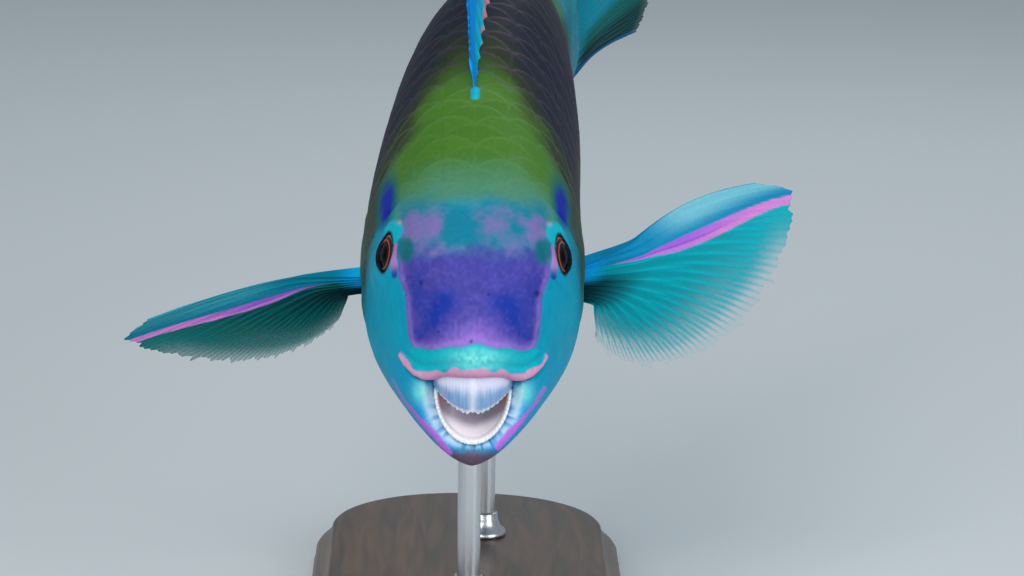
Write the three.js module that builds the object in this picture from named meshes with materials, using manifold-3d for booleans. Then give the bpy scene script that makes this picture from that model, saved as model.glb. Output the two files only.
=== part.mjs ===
// A parrotfish as a still, life-size display model: a terminal-phase adult about 300 mm long.
// It swims head down with its tail swung to its own left, its pectoral fins spread and its beak open.
// Millimetres, +Z up. The snout points along -Y and the fish's left is +X.
// The origin is the centre of the stand's underside.
import * as THREE from "three";
import { mergeVertices } from "three/addons/utils/BufferGeometryUtils.js";
import Module from "manifold-3d";

const wasm = await Module();
wasm.setup();

// Pose: the fish is built straight in its own frame (side, back, up) from the snout tip, then bent
// and pitched.
const PITCH = THREE.MathUtils.degToRad(12);
const BEND_START = 70;
const BEND_RADIUS = 560;
const SNOUT_Y = -112;
const SNOUT_Z = 84;

// Gap that neighbouring pieces keep.
const GAP = 0.32;

// Body stations from the lip's rim back to the tail root.
// back, mid (height of the widest level), up, down and side are sizes, lean tips the ring forward at its
// top, bow sets its sides back, and square and keel are the exponents of its upper and lower half.
const STATIONS = [
  { back: 5.2, mid: -1.8, up: 7.3, down: 15.7, side: 10.3, lean: 0.2, bow: 5.5, square: 2, keel: 2 },
  { back: 3.9, mid: -2.2, up: 9.4, down: 17.1, side: 11.8, lean: 0.2, bow: 5.5, square: 2, keel: 1.9 },
  { back: 5, mid: -3, up: 13.6, down: 18.8, side: 14, lean: 0.19, bow: 5, square: 2.05, keel: 1.6 },
  { back: 11.6, mid: -4, up: 22, down: 20.9, side: 17.6, lean: 0.14, bow: 3, square: 2.15, keel: 1.45 },
  { back: 22.5, mid: -4, up: 31, down: 23.8, side: 21.4, lean: 0.11, bow: 1.5, square: 2.35, keel: 1.4 },
  { back: 36, mid: -3, up: 37, down: 27.4, side: 24.9, lean: 0.1, bow: 0.6, square: 2.6, keel: 1.45 },
  { back: 52.5, mid: -2, up: 41.6, down: 32.2, side: 26.8, lean: 0.06, bow: 0, square: 2.45, keel: 1.55 },
  { back: 70, mid: -1, up: 45, down: 36.4, side: 27.6, lean: 0, bow: 0, square: 2.2, keel: 1.7 },
  { back: 86, mid: 0, up: 46.6, down: 40.2, side: 27.4, lean: 0, bow: 0, square: 2.1, keel: 1.85 },
  { back: 110, mid: 2, up: 49.6, down: 44.6, side: 26.4, lean: 0, bow: 0, square: 2, keel: 1.95 },
  { back: 135, mid: 4, up: 49.8, down: 45.6, side: 24.8, lean: 0, bow: 0, square: 2, keel: 2 },
  { back: 160, mid: 4, up: 46, down: 40.6, side: 21.2, lean: 0, bow: 0, square: 2, keel: 2 },
  { back: 185, mid: 4, up: 37, down: 32, side: 16, lean: 0, bow: 0, square: 2, keel: 2 },
  { back: 206, mid: 3, up: 26.6, down: 23.4, side: 10.8, lean: 0, bow: 0, square: 2, keel: 2 },
  { back: 226, mid: 2, up: 19.4, down: 17.8, side: 7.2, lean: 0, bow: 0, square: 2, keel: 2 },
  { back: 243, mid: 1.5, up: 16.6, down: 16.2, side: 4.8, lean: 0, bow: 0, square: 2, keel: 2 },
  { back: 253, mid: 1.5, up: 17.2, down: 16.8, side: 2.8, lean: 0, bow: 0, square: 2, keel: 2 },
];
const STATION_KEYS = Object.keys(STATIONS[0]);
const RING_POINTS = 36;
const RINGS_PER_STATION = [2, 2, 3, 3, 3, 3, 3, 3, 3, 3, 3, 3, 3, 2, 2, 1];

// Mouth pocket: how far back each inner ring lies and its share of the rim's size.
const MOUTH_RINGS = [
  { depth: 1.4, share: 1.01 },
  { depth: 5.5, share: 1.06 },
  { depth: 10, share: 1 },
  { depth: 13, share: 0.75 },
  { depth: 14.5, share: 0.3 },
];

// Eyes, in the fish's own frame.
const EYE = { side: 16.1, back: 37.2, up: 19.3, radius: 7.8 };
const NOSTRILS = [
  { back: 20.6, up: 17.8, radius: 0.7 },
  { back: 23, up: 20.2, radius: 0.8 },
];
const NOSTRIL_SIDE = 17.4;
const NOSTRIL_DEPTH = 4.5;

// Rear edge of the gill cover and head, top to bottom, as back and up.
const GILL_EDGE = [
  [72, 60], [70, 40], [68, 28], [72, 20], [79, 12], [83.5, 3],
  [83, -8], [77, -19], [67, -29], [56, -37], [48, -60],
];
const STALK_BACK = 206;

function smoothStep(t) {
  const x = THREE.MathUtils.clamp(t, 0, 1);
  return x * x * (3 - 2 * x);
}

// Straight fish frame to the part's frame: a bend to the left behind the shoulders, then the pitch.
function place(side, back, up) {
  const turn = Math.max(0, back - BEND_START) / BEND_RADIUS;
  const x = back > BEND_START ? BEND_RADIUS - (BEND_RADIUS - side) * Math.cos(turn) : side;
  const y = back > BEND_START ? BEND_START + (BEND_RADIUS - side) * Math.sin(turn) : back;
  return new THREE.Vector3(
    x,
    SNOUT_Y + y * Math.cos(PITCH) - up * Math.sin(PITCH),
    SNOUT_Z + y * Math.sin(PITCH) + up * Math.cos(PITCH),
  );
}

// One station value at s, by a cubic with monotone slopes.
function stationValue(key, s) {
  const last = STATIONS.length - 1;
  const i = Math.min(Math.floor(s), last - 1);
  const value = (k) => STATIONS[THREE.MathUtils.clamp(k, 0, last)][key];
  const slope = (k) => {
    const before = value(k) - value(k - 1);
    const after = value(k + 1) - value(k);
    if (k <= 0) return after;
    if (k >= last) return before;
    return before * after <= 0 ? 0 : (2 * before * after) / (before + after);
  };
  const t = s - i;
  return (
    value(i) * (1 + 2 * t) * (1 - t) ** 2 +
    slope(i) * t * (1 - t) ** 2 +
    value(i + 1) * t * t * (3 - 2 * t) +
    slope(i + 1) * t * t * (t - 1)
  );
}

function stationAt(s) {
  return Object.fromEntries(STATION_KEYS.map((key) => [key, stationValue(key, s)]));
}

// A point of a section, in the fish's frame; angle 0 is the top and a quarter turn is the left side.
function ringPoint(ring, angle, grow = 0) {
  const exponent = 2 / (Math.cos(angle) > 0 ? ring.square : ring.keel);
  const power = (x) => Math.sign(x) * Math.abs(x) ** exponent;
  const across = power(Math.sin(angle));
  const rise = power(Math.cos(angle));
  const side = (ring.side + grow) * across;
  const height = rise * ((rise > 0 ? ring.up : ring.down) + grow);
  return [side, ring.back - ring.lean * height + ring.bow * across * across, ring.mid + height];
}

// The height of the back or belly line at a given distance from the snout.
function profile(back, edge) {
  let low = 2;
  let high = STATIONS.length - 1;
  for (let i = 0; i < 30; i++) {
    const middle = (low + high) / 2;
    if (ringPoint(stationAt(middle), edge)[1] < back) low = middle;
    else high = middle;
  }
  return ringPoint(stationAt(low), edge)[2];
}
const backLine = (back) => profile(back, 0);
const bellyLine = (back) => profile(back, Math.PI);

// Rows of points joined into one closed body; each row is a closed loop and the ends are fans.
function loft(rows) {
  const positions = [];
  const index = [];
  const count = rows[0].length;
  for (const row of rows) for (const p of row) positions.push(p.x, p.y, p.z);
  const at = (i, j) => i * count + (j % count);
  for (let i = 0; i + 1 < rows.length; i++) {
    for (let j = 0; j < count; j++) {
      index.push(at(i, j), at(i + 1, j), at(i + 1, j + 1));
      index.push(at(i, j), at(i + 1, j + 1), at(i, j + 1));
    }
  }
  for (const [row, flip] of [[0, false], [rows.length - 1, true]]) {
    const centre = rows[row].reduce((sum, p) => sum.add(p), new THREE.Vector3()).divideScalar(count);
    const c = positions.length / 3;
    positions.push(centre.x, centre.y, centre.z);
    for (let j = 0; j < count; j++) {
      if (flip) index.push(c, at(row, j + 1), at(row, j));
      else index.push(c, at(row, j), at(row, j + 1));
    }
  }
  const geometry = new THREE.BufferGeometry();
  geometry.setAttribute("position", new THREE.Float32BufferAttribute(positions, 3));
  geometry.setIndex(index);
  return geometry;
}

// three.js geometry to a manifold-3d solid, turned right side out.
function solid(geometry) {
  const bare = geometry.clone();
  bare.deleteAttribute("normal");
  bare.deleteAttribute("uv");
  const merged = mergeVertices(bare, 1e-4);
  const build = (triVerts) =>
    new wasm.Manifold(
      new wasm.Mesh({
        numProp: 3,
        vertProperties: new Float32Array(merged.attributes.position.array),
        triVerts,
      }),
    );
  const faces = new Uint32Array(merged.index.array);
  const made = build(faces);
  if (made.volume() > 0) return made;
  for (let i = 0; i < faces.length; i += 3) [faces[i + 1], faces[i + 2]] = [faces[i + 2], faces[i + 1]];
  return build(faces);
}

function largest(made) {
  return made.decompose().reduce((best, piece) => (piece.volume() > best.volume() ? piece : best));
}

function geometryOf(made) {
  const mesh = made.getMesh();
  const positions = new Float32Array(mesh.numVert * 3);
  for (let i = 0; i < mesh.numVert; i++) {
    for (let k = 0; k < 3; k++) positions[i * 3 + k] = mesh.vertProperties[i * mesh.numProp + k];
  }
  const geometry = new THREE.BufferGeometry();
  geometry.setAttribute("position", new THREE.BufferAttribute(positions, 3));
  geometry.setIndex(new THREE.BufferAttribute(new Uint32Array(mesh.triVerts), 1));
  geometry.computeVertexNormals();
  return geometry;
}

// Body of flesh: mouth pocket, lips, head, trunk and tail root in one skin.
function bodyRows(grow, withMouth) {
  const rows = [];
  const angles = Array.from({ length: RING_POINTS }, (_, j) => (j * 2 * Math.PI) / RING_POINTS);
  const rim = stationAt(0);
  const ringRow = (ring) => angles.map((angle) => place(...ringPoint(ring, angle, grow)));
  if (withMouth) {
    for (const { depth, share } of [...MOUTH_RINGS].reverse()) {
      const ring = { ...rim, back: rim.back + depth, up: rim.up * share, down: rim.down * share };
      rows.push(ringRow({ ...ring, side: rim.side * share, bow: rim.bow * share }));
    }
  }
  for (let i = 0; i < RINGS_PER_STATION.length; i++) {
    const count = RINGS_PER_STATION[i];
    for (let k = 0; k < count; k++) rows.push(ringRow(stationAt(i + k / count)));
  }
  rows.push(ringRow(stationAt(STATIONS.length - 1)));
  return rows;
}

// A thin wall across the whole fish that follows a line of back and up points.
const WALL_WIDE = 100;
function cutWall(line, thickness) {
  const shape = new THREE.Shape();
  line.forEach(([back, up], i) => (i ? shape.lineTo(back, up) : shape.moveTo(back, up)));
  [...line].reverse().forEach(([back, up]) => shape.lineTo(back + thickness, up));
  const wall = new THREE.ExtrudeGeometry(shape, { depth: WALL_WIDE, steps: 10, bevelEnabled: false });
  const position = wall.attributes.position;
  for (let i = 0; i < position.count; i++) {
    const p = place(position.getZ(i) - WALL_WIDE / 2, position.getX(i), position.getY(i));
    position.setXYZ(i, p.x, p.y, p.z);
  }
  return solid(wall);
}

function ball(centre, radius, across = 16, down = 12) {
  const geometry = new THREE.SphereGeometry(radius, across, down);
  geometry.translate(centre.x, centre.y, centre.z);
  return solid(geometry);
}

// Fin: a thin sheet whose rays are ridges. middle(ray, out) gives the sheet's middle point in the fish's
// frame and half(ray, out) its half thickness on a ray. Columns alternate between rays and membrane.
function fin({ rays, rows, middle, half, web, notch }) {
  const columns = rays * 2 - 1;
  const sheet = [];
  for (let i = 0; i < columns; i++) {
    const onRay = i % 2 === 0;
    const ray = i / (columns - 1);
    sheet.push(
      Array.from({ length: rows + 1 }, (_, k) => {
        const out = (k / rows) * (onRay ? 1 : 1 - notch(ray));
        return { p: place(...middle(ray, out)), thick: half(ray, out) * (onRay ? 1 : web) };
      }),
    );
  }
  const normalAt = (i, k) => {
    const a = sheet[Math.max(i - 1, 0)][k].p;
    const b = sheet[Math.min(i + 1, columns - 1)][k].p;
    const c = sheet[i][Math.max(k - 1, 0)].p;
    const d = sheet[i][Math.min(k + 1, rows)].p;
    return b.clone().sub(a).cross(d.clone().sub(c)).normalize();
  };
  const positions = [];
  for (const face of [1, -1]) {
    for (let i = 0; i < columns; i++) {
      for (let k = 0; k <= rows; k++) {
        const p = sheet[i][k].p.clone().addScaledVector(normalAt(i, k), face * sheet[i][k].thick);
        positions.push(p.x, p.y, p.z);
      }
    }
  }
  const index = [];
  const back = columns * (rows + 1);
  const at = (i, k) => i * (rows + 1) + k;
  const quad = (a, b, c, d) => index.push(a, b, c, a, c, d);
  for (let i = 0; i + 1 < columns; i++) {
    for (let k = 0; k < rows; k++) {
      const corners = [at(i, k), at(i + 1, k), at(i + 1, k + 1), at(i, k + 1)];
      const [a, b, c, d] = corners;
      if (i % 2) index.push(a, b, c, a, c, d, a + back, c + back, b + back, a + back, d + back, c + back);
      else index.push(a, b, d, b, c, d, a + back, d + back, b + back, b + back, d + back, c + back);
    }
    quad(at(i, 0), at(i, 0) + back, at(i + 1, 0) + back, at(i + 1, 0));
    quad(at(i, rows), at(i + 1, rows), at(i + 1, rows) + back, at(i, rows) + back);
  }
  for (let k = 0; k < rows; k++) {
    quad(at(0, k), at(0, k + 1), at(0, k + 1) + back, at(0, k) + back);
    const e = columns - 1;
    quad(at(e, k), at(e, k) + back, at(e, k + 1) + back, at(e, k + 1));
  }
  const geometry = new THREE.BufferGeometry();
  geometry.setAttribute("position", new THREE.Float32BufferAttribute(positions, 3));
  geometry.setIndex(index);
  return solid(geometry);
}

const mix = THREE.MathUtils.lerp;

// Median fins stand on the back or belly line, with rays that lean back. A tilt lays the fin over to
// its right.
const WEB_SHARE = 0.5;
const EDGE_HALF = 0.36;
function medianFin({ rays, rows, from, to, line, sign, height, lean, tilt, sunk, root, notch }) {
  return fin({
    rays,
    rows,
    web: WEB_SHARE,
    notch,
    middle: (ray, out) => {
      const base = mix(from, to, ray);
      const long = (height(ray) + sunk) * out;
      const rise = Math.cos(lean(ray)) * long - sunk;
      return [-tilt * rise, base + Math.sin(lean(ray)) * long, line(base) + sign * rise];
    },
    half: (ray, out) => mix(root, EDGE_HALF, smoothStep(out * 1.6)),
  });
}

const DORSAL = {
  rays: 19, rows: 4, from: 78, to: 214, line: backLine, sign: 1, tilt: 0.24, sunk: 4, root: 1.4,
  height: (ray) =>
    mix(11, 21, smoothStep(ray * 6)) + 3 * smoothStep((ray - 0.5) * 3) - 8 * smoothStep((ray - 0.86) * 7),
  lean: (ray) => mix(0.75, 0.5, smoothStep(ray * 4)) + 0.35 * smoothStep((ray - 0.8) * 5),
  notch: (ray) => (ray < 0.45 ? 0.12 : 0.05),
};
const ANAL = {
  rays: 12, rows: 4, from: 158, to: 214, line: bellyLine, sign: -1, tilt: 0, sunk: 4, root: 1.2,
  height: (ray) => mix(9, 20, smoothStep(ray * 4)) - 6 * smoothStep((ray - 0.8) * 5),
  lean: (ray) => mix(0.7, 0.55, ray) + 0.3 * smoothStep((ray - 0.8) * 5),
  notch: () => 0.05,
};

// Tail fin: rays spread a little from the tail root, and the outermost are shorter.
const CAUDAL = {
  rays: 15, rows: 7, back: 249, sunk: 1, foot: 13.5, centre: 1.4, spread: 0.07, curl: 0.05,
  middle: 72, corner: 10,
};
function caudalFin() {
  return fin({
    rays: CAUDAL.rays,
    rows: CAUDAL.rows,
    web: WEB_SHARE,
    notch: () => 0.04,
    middle: (ray, out) => {
      const away = 1 - 2 * ray;
      const angle = CAUDAL.spread * away + CAUDAL.curl * away ** 3 * out;
      const long = CAUDAL.middle - CAUDAL.corner * Math.abs(away) ** 5;
      const up = CAUDAL.centre + CAUDAL.foot * away + Math.sin(angle) * long * out;
      return [0, CAUDAL.back - CAUDAL.sunk + Math.cos(angle) * long * out, up];
    },
    half: (ray, out) => mix(1.7, EDGE_HALF, smoothStep(out * 2.2)),
  });
}

// Paired fins: each ray leaves a short root line. A ray's heading is an angle in the plane that faces a
// viewer in front of the fish, seen from VIEW_DOWN above its axis, and a sweep away from that viewer.
const VIEW_DOWN = THREE.MathUtils.degToRad(24);
const PECTORAL = { rays: 14, rows: 8, root: [22.5, 84, -4.5], foot: [22, 86.5, -10.5], lobe: 9, nick: 14 };
const PECTORAL_POSE = {
  left: {
    lead: 0.58, trail: -1.5, sweepLead: 0.42, sweepTrail: 0.75, cup: 5, long: 66, short: 18, fall: 0.85,
  },
  right: {
    lead: -0.27, trail: -1.2, sweepLead: 0.2, sweepTrail: 0.8, cup: 2, long: 69, short: 14, fall: 1.05,
  },
};
function pectoralFin(sign, pose) {
  const length = (ray) =>
    mix(pose.short, pose.long, (1 - ray) ** pose.fall) - PECTORAL.nick * (1 - smoothStep(ray * 9 + 0.15));
  return fin({
    rays: PECTORAL.rays,
    rows: PECTORAL.rows,
    web: WEB_SHARE,
    notch: (ray) => 0.06 + 0.1 * ray,
    middle: (ray, out) => {
      const angle = mix(pose.lead, pose.trail, ray ** 1.15);
      const sweep = mix(pose.sweepLead, pose.sweepTrail, ray);
      const long = length(ray) * out;
      const outward = Math.cos(angle) * Math.cos(sweep) * long;
      const arch = pose.cup * Math.sin(Math.PI * out) * (1 - ray);
      const upward = Math.sin(angle) * Math.cos(sweep) * long + arch;
      const away = Math.sin(sweep) * long - pose.cup * smoothStep(out) * ray * 2;
      const spread = PECTORAL.root.map((value, i) => mix(value, PECTORAL.foot[i], ray));
      const lift = PECTORAL.lobe * smoothStep(out * 4);
      return [
        sign * (spread[0] + outward + lift),
        spread[1] + away * Math.cos(VIEW_DOWN) + upward * Math.sin(VIEW_DOWN),
        spread[2] + upward * Math.cos(VIEW_DOWN) - away * Math.sin(VIEW_DOWN),
      ];
    },
    half: (ray, out) => mix(2.1 * (1 - 0.5 * ray), EDGE_HALF, smoothStep(out * 3.4)),
  });
}

const PELVIC = { rays: 6, rows: 6, from: 88, to: 95, side: 3.5, spread: 7, long: 37, short: 17, sunk: 4 };
function pelvicFin(sign) {
  return fin({
    rays: PELVIC.rays,
    rows: PELVIC.rows,
    web: WEB_SHARE,
    notch: () => 0.05,
    middle: (ray, out) => {
      const base = mix(PELVIC.from, PELVIC.to, ray);
      const long = (mix(PELVIC.long, PELVIC.short, ray ** 1.4) + PELVIC.sunk) * out;
      const angle = mix(0.52, 0.22, ray);
      const side = PELVIC.side + PELVIC.spread * (1 - ray) * smoothStep(out) + 1.5 * (1 - ray);
      const up = bellyLine(base) + PELVIC.sunk - Math.sin(angle) * long;
      return [sign * side, base + Math.cos(angle) * long, up];
    },
    half: (ray, out) => mix(1.3, EDGE_HALF, smoothStep(out * 2.5)),
  });
}

// Beak: two curved plates of fused teeth with a notch in the middle and a scalloped edge.
const BEAK_STEPS = 20;
const UPPER_BEAK = {
  side: 9.6, front: 4.4, reach: 7.8, thick: 1.7, tip: -7.2, rise: 5.4, notch: 0.7, scallop: 0.35,
  bulge: 1.6, slope: 0.1,
};
const LOWER_BEAK = {
  side: 9.3, front: 10.2, bow: 2.4, top: -3.1, drop: 13.5, long: 6.2, thick: 1.4, scallop: 0.3,
};
function plate(point, steps) {
  const rows = [];
  for (let i = 0; i <= steps; i++) rows.push(point(-1 + (2 * i) / steps));
  return solid(loft(rows));
}
function upperBeak() {
  const rim = STATIONS[0];
  const ceiling = (side) => rim.mid + (rim.up - 3.5 * GAP) * Math.sqrt(1 - (side / rim.side) ** 2);
  return plate((t) => {
    const turn = (t * Math.PI) / 2;
    const side = UPPER_BEAK.side * Math.sin(turn);
    const notch = UPPER_BEAK.notch * Math.exp(-((t * 14) ** 2));
    const edge = UPPER_BEAK.tip + UPPER_BEAK.rise * Math.abs(side / UPPER_BEAK.side) ** 1.6 + notch;
    const scallop = UPPER_BEAK.scallop * Math.cos(t * Math.PI * 10);
    const loop = [];
    for (const [level, inset] of [[0, 0], [0.5, 0], [1, 0.35], [1, 0.75], [0.5, 1], [0, 1]]) {
      const size = 1 - (inset * UPPER_BEAK.thick) / UPPER_BEAK.reach;
      const down = level * (ceiling(side) - edge + scallop * level);
      const bulge = UPPER_BEAK.bulge * Math.sin(level * 2.2) * (inset < 0.5 ? 1 : 0.2);
      const depth = (UPPER_BEAK.reach * size + bulge) * Math.cos(turn);
      const back = UPPER_BEAK.front + UPPER_BEAK.reach - depth + UPPER_BEAK.slope * down;
      loop.push(place(side * size, back, ceiling(side) - down));
    }
    return loop;
  }, BEAK_STEPS);
}
function lowerBeak() {
  return plate((t) => {
    const turn = (t * Math.PI) / 2;
    const scallop = LOWER_BEAK.scallop * Math.cos(t * Math.PI * 10);
    const loop = [];
    for (const [level, inset] of [[0, 0.3], [0, 0.7], [0.5, 1], [1, 1], [1, 0], [0.5, 0]]) {
      const size = 1 - (inset * LOWER_BEAK.thick) / LOWER_BEAK.side;
      const deep = level * LOWER_BEAK.long - (level ? 0 : scallop);
      loop.push(
        place(
          LOWER_BEAK.side * size * Math.sin(turn),
          LOWER_BEAK.front - LOWER_BEAK.bow * Math.cos(turn) * size + deep,
          LOWER_BEAK.top - LOWER_BEAK.drop * size * Math.cos(turn),
        ),
      );
    }
    return loop;
  }, BEAK_STEPS);
}

// Stand: a rounded base plate and two rods that end against the belly.
const BASE = { long: 170, wide: 84, high: 11, corner: 40, bevel: 1.5 };
const RODS = { front: 76, rear: 141, radius: 3, overlap: 8 };
function baseGeometry() {
  const x = BASE.wide / 2 - BASE.bevel;
  const y = BASE.long / 2 - BASE.bevel;
  const r = BASE.corner;
  const shape = new THREE.Shape();
  shape.moveTo(-x + r, -y);
  shape.lineTo(x - r, -y);
  shape.absarc(x - r, -y + r, r, -Math.PI / 2, 0);
  shape.lineTo(x, y - r);
  shape.absarc(x - r, y - r, r, 0, Math.PI / 2);
  shape.lineTo(-x + r, y);
  shape.absarc(-x + r, y - r, r, Math.PI / 2, Math.PI);
  shape.lineTo(-x, -y + r);
  shape.absarc(-x + r, -y + r, r, Math.PI, 1.5 * Math.PI);
  return new THREE.ExtrudeGeometry(shape, {
    depth: BASE.high - 2 * BASE.bevel,
    bevelThickness: BASE.bevel,
    bevelSize: BASE.bevel,
    bevelSegments: 2,
    curveSegments: 10,
  }).translate(0, 0, BASE.bevel);
}
function rod(back, trunk) {
  const top = place(0, back, bellyLine(back));
  const high = top.z - BASE.high + RODS.overlap;
  const geometry = new THREE.CylinderGeometry(RODS.radius, RODS.radius, high, 20).rotateX(Math.PI / 2);
  geometry.translate(top.x, top.y, BASE.high + GAP + high / 2);
  return largest(solid(geometry).subtract(trunk.translate([0, 0, -GAP])));
}

// Assembly of the solids.
const whole = solid(loft(bodyRows(0, true)));
const skinCutter = solid(loft(bodyRows(GAP, false)));
const eyeCentre = (sign) => place(sign * EYE.side, EYE.back, EYE.up);
const eyeGap = EYE.radius + GAP;
const gillWall = cutWall(GILL_EDGE, GAP);
const stalkWall = cutWall([[STALK_BACK, 80], [STALK_BACK + 6, 5], [STALK_BACK, -80]], GAP);
const beaks = { beak_upper: upperBeak(), beak_lower: lowerBeak() };

const flesh = whole.subtract(gillWall).subtract(stalkWall).decompose();
const order = flesh.sort((a, b) => a.boundingBox().min[1] - b.boundingBox().min[1]);
let [head, trunk, stalk] = order;
for (const sign of [1, -1]) {
  head = head.subtract(ball(eyeCentre(sign), eyeGap));
  for (const pit of NOSTRILS) {
    const pin = new THREE.CylinderGeometry(pit.radius, pit.radius, NOSTRIL_DEPTH, 8).rotateZ(Math.PI / 2);
    const at = place(sign * NOSTRIL_SIDE, pit.back, pit.up);
    head = head.subtract(solid(pin.translate(at.x, at.y, at.z)));
  }
}
const parts = {
  head: largest(head),
  trunk,
  tail_stalk: stalk,
  eye_left: ball(eyeCentre(1), EYE.radius),
  eye_right: ball(eyeCentre(-1), EYE.radius),
  ...beaks,
  dorsal_fin: largest(medianFin(DORSAL).subtract(skinCutter)),
  anal_fin: largest(medianFin(ANAL).subtract(skinCutter)),
  caudal_fin: largest(caudalFin().subtract(skinCutter)),
  pectoral_fin_left: largest(pectoralFin(1, PECTORAL_POSE.left).subtract(skinCutter)),
  pectoral_fin_right: largest(pectoralFin(-1, PECTORAL_POSE.right).subtract(skinCutter)),
  pelvic_fin_left: largest(pelvicFin(1).subtract(skinCutter)),
  pelvic_fin_right: largest(pelvicFin(-1).subtract(skinCutter)),
  stand_base: solid(baseGeometry()),
  stand_rod_front: rod(RODS.front, whole),
  stand_rod_rear: rod(RODS.rear, whole),
};

// Finishes.
const finish = (color, roughness, metalness = 0) =>
  new THREE.MeshStandardMaterial({ color, roughness, metalness });
const SKIN = finish(0x1f9aa0, 0.35);
const FIN = finish(0x1aa7b4, 0.4);
const ENAMEL = finish(0xe4e6ea, 0.3);
const IRIS = finish(0x3a1d18, 0.08);
const WOOD = finish(0x4a3526, 0.45);
const STEEL = finish(0xb9bcc0, 0.25, 1);
const finishes = [
  [/^(head|trunk|tail_stalk)$/, SKIN],
  [/_fin/, FIN],
  [/^beak/, ENAMEL],
  [/^eye/, IRIS],
  [/^stand_base/, WOOD],
  [/^stand_rod/, STEEL],
];

const model = new THREE.Group();
for (const [name, made] of Object.entries(parts)) {
  const [, material] = finishes.find(([pattern]) => pattern.test(name));
  const mesh = new THREE.Mesh(geometryOf(made), material);
  mesh.name = name;
  model.add(mesh);
}

export default model;
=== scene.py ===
import math

import bpy
import numpy as np
from mathutils import Matrix


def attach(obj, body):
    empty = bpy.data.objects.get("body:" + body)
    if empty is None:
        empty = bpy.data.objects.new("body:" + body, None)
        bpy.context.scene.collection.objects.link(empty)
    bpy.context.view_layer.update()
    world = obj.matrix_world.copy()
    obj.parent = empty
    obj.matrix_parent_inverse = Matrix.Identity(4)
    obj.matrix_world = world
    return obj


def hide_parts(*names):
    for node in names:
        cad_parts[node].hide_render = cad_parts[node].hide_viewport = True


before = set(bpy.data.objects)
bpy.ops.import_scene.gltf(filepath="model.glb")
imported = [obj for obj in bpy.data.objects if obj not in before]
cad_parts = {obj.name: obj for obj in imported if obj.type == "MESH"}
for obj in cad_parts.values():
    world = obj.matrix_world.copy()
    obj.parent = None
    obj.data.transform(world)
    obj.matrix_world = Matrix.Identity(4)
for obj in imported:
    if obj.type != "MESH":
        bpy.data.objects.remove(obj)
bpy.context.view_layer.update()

MM = 0.001
FULL_TURN = 2 * math.pi

# Pose
PITCH = math.radians(12)
BEND_START = 70
BEND_RADIUS = 560
SNOUT_Y = -112
SNOUT_Z = 84

# Camera, in the fish's own frame before the pitch. It rolls about the chin.
CAMERA_SPOT = (-7.8, -900.0, 425.0)
CAMERA_DOWN = math.radians(23.8)
CAMERA_YAW = math.radians(1.1)
CAMERA_ROLL = math.radians(1.1)
ROLL_PIVOT = (472, 466)
FOCAL_PIXELS = 4217
PICTURE_WIDE, PICTURE_HIGH = 1024, 576
SENSOR = 36.0
CLIP_NEAR, CLIP_FAR = 0.05, 30

# Lamps: name, place, what they point at, size, power and tint
LAMPS = [
    ("key", (-0.25, -0.95, 0.7), (0, -0.05, 0.1), (0.7, 0.7), 8.5, (1, 0.98, 0.95)),
    ("fill", (0.75, -0.75, 0.4), (0, 0, 0.1), (0.6, 0.6), 4.0, (0.95, 0.98, 1)),
    ("rim", (0.2, 0.8, 0.7), (0, 0.05, 0.1), (0.6, 0.4), 1.2, (1, 1, 1)),
]
WORLD_STRENGTH = 0.42
FLOOR_SIZE, FLOOR_DROP = 8, 0.0002

# Body stations and the names of their columns
BACK, MID, UP, DOWN, SIDE, LEAN, BOW, SQUARE, KEEL = range(9)
STATIONS = np.array([
    (5.2, -1.8, 7.3, 15.7, 10.3, 0.2, 5.5, 2, 2),
    (3.9, -2.2, 9.4, 17.1, 11.8, 0.2, 5.5, 2, 1.9),
    (5, -3, 13.6, 18.8, 14, 0.19, 5, 2.05, 1.6),
    (11.6, -4, 22, 20.9, 17.6, 0.14, 3, 2.15, 1.45),
    (22.5, -4, 31, 23.8, 21.4, 0.11, 1.5, 2.35, 1.4),
    (36, -3, 37, 27.4, 24.9, 0.1, 0.6, 2.6, 1.45),
    (52.5, -2, 41.6, 32.2, 26.8, 0.06, 0, 2.45, 1.55),
    (70, -1, 45, 36.4, 27.6, 0, 0, 2.2, 1.7),
    (86, 0, 46.6, 40.2, 27.4, 0, 0, 2.1, 1.85),
    (110, 2, 49.6, 44.6, 26.4, 0, 0, 2, 1.95),
    (135, 4, 49.8, 45.6, 24.8, 0, 0, 2, 2),
    (160, 4, 46, 40.6, 21.2, 0, 0, 2, 2),
    (185, 4, 37, 32, 16, 0, 0, 2, 2),
    (206, 3, 26.6, 23.4, 10.8, 0, 0, 2, 2),
    (226, 2, 19.4, 17.8, 7.2, 0, 0, 2, 2),
    (243, 1.5, 16.6, 16.2, 4.8, 0, 0, 2, 2),
    (253, 1.5, 17.2, 16.8, 2.8, 0, 0, 2, 2),
])
ROWS_PER_STATION = [10, 16, 28, 34, 42, 48, 46, 38, 44, 46, 44, 44, 38, 34, 28, 14]
AROUND = 480

# Mouth pocket: depth behind the rim, and shares of the rim's size across and below
MOUTH_RINGS = [
    (0.6, 0.96, 0.98), (1.5, 0.915, 0.955), (3.0, 0.91, 0.955), (6, 1.0, 1.0),
    (10, 1.0, 1.0), (13, 0.75, 0.75), (14.5, 0.3, 0.3),
]
MOUTH_ROWS = 40

# The tail stalk draws in over the root of the tail fin: where, and height above and below, and half width
TAIL_DRAW_IN = (242, 252.5)
TAIL_END = np.array([15.0, 14.7, 1.4])

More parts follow.
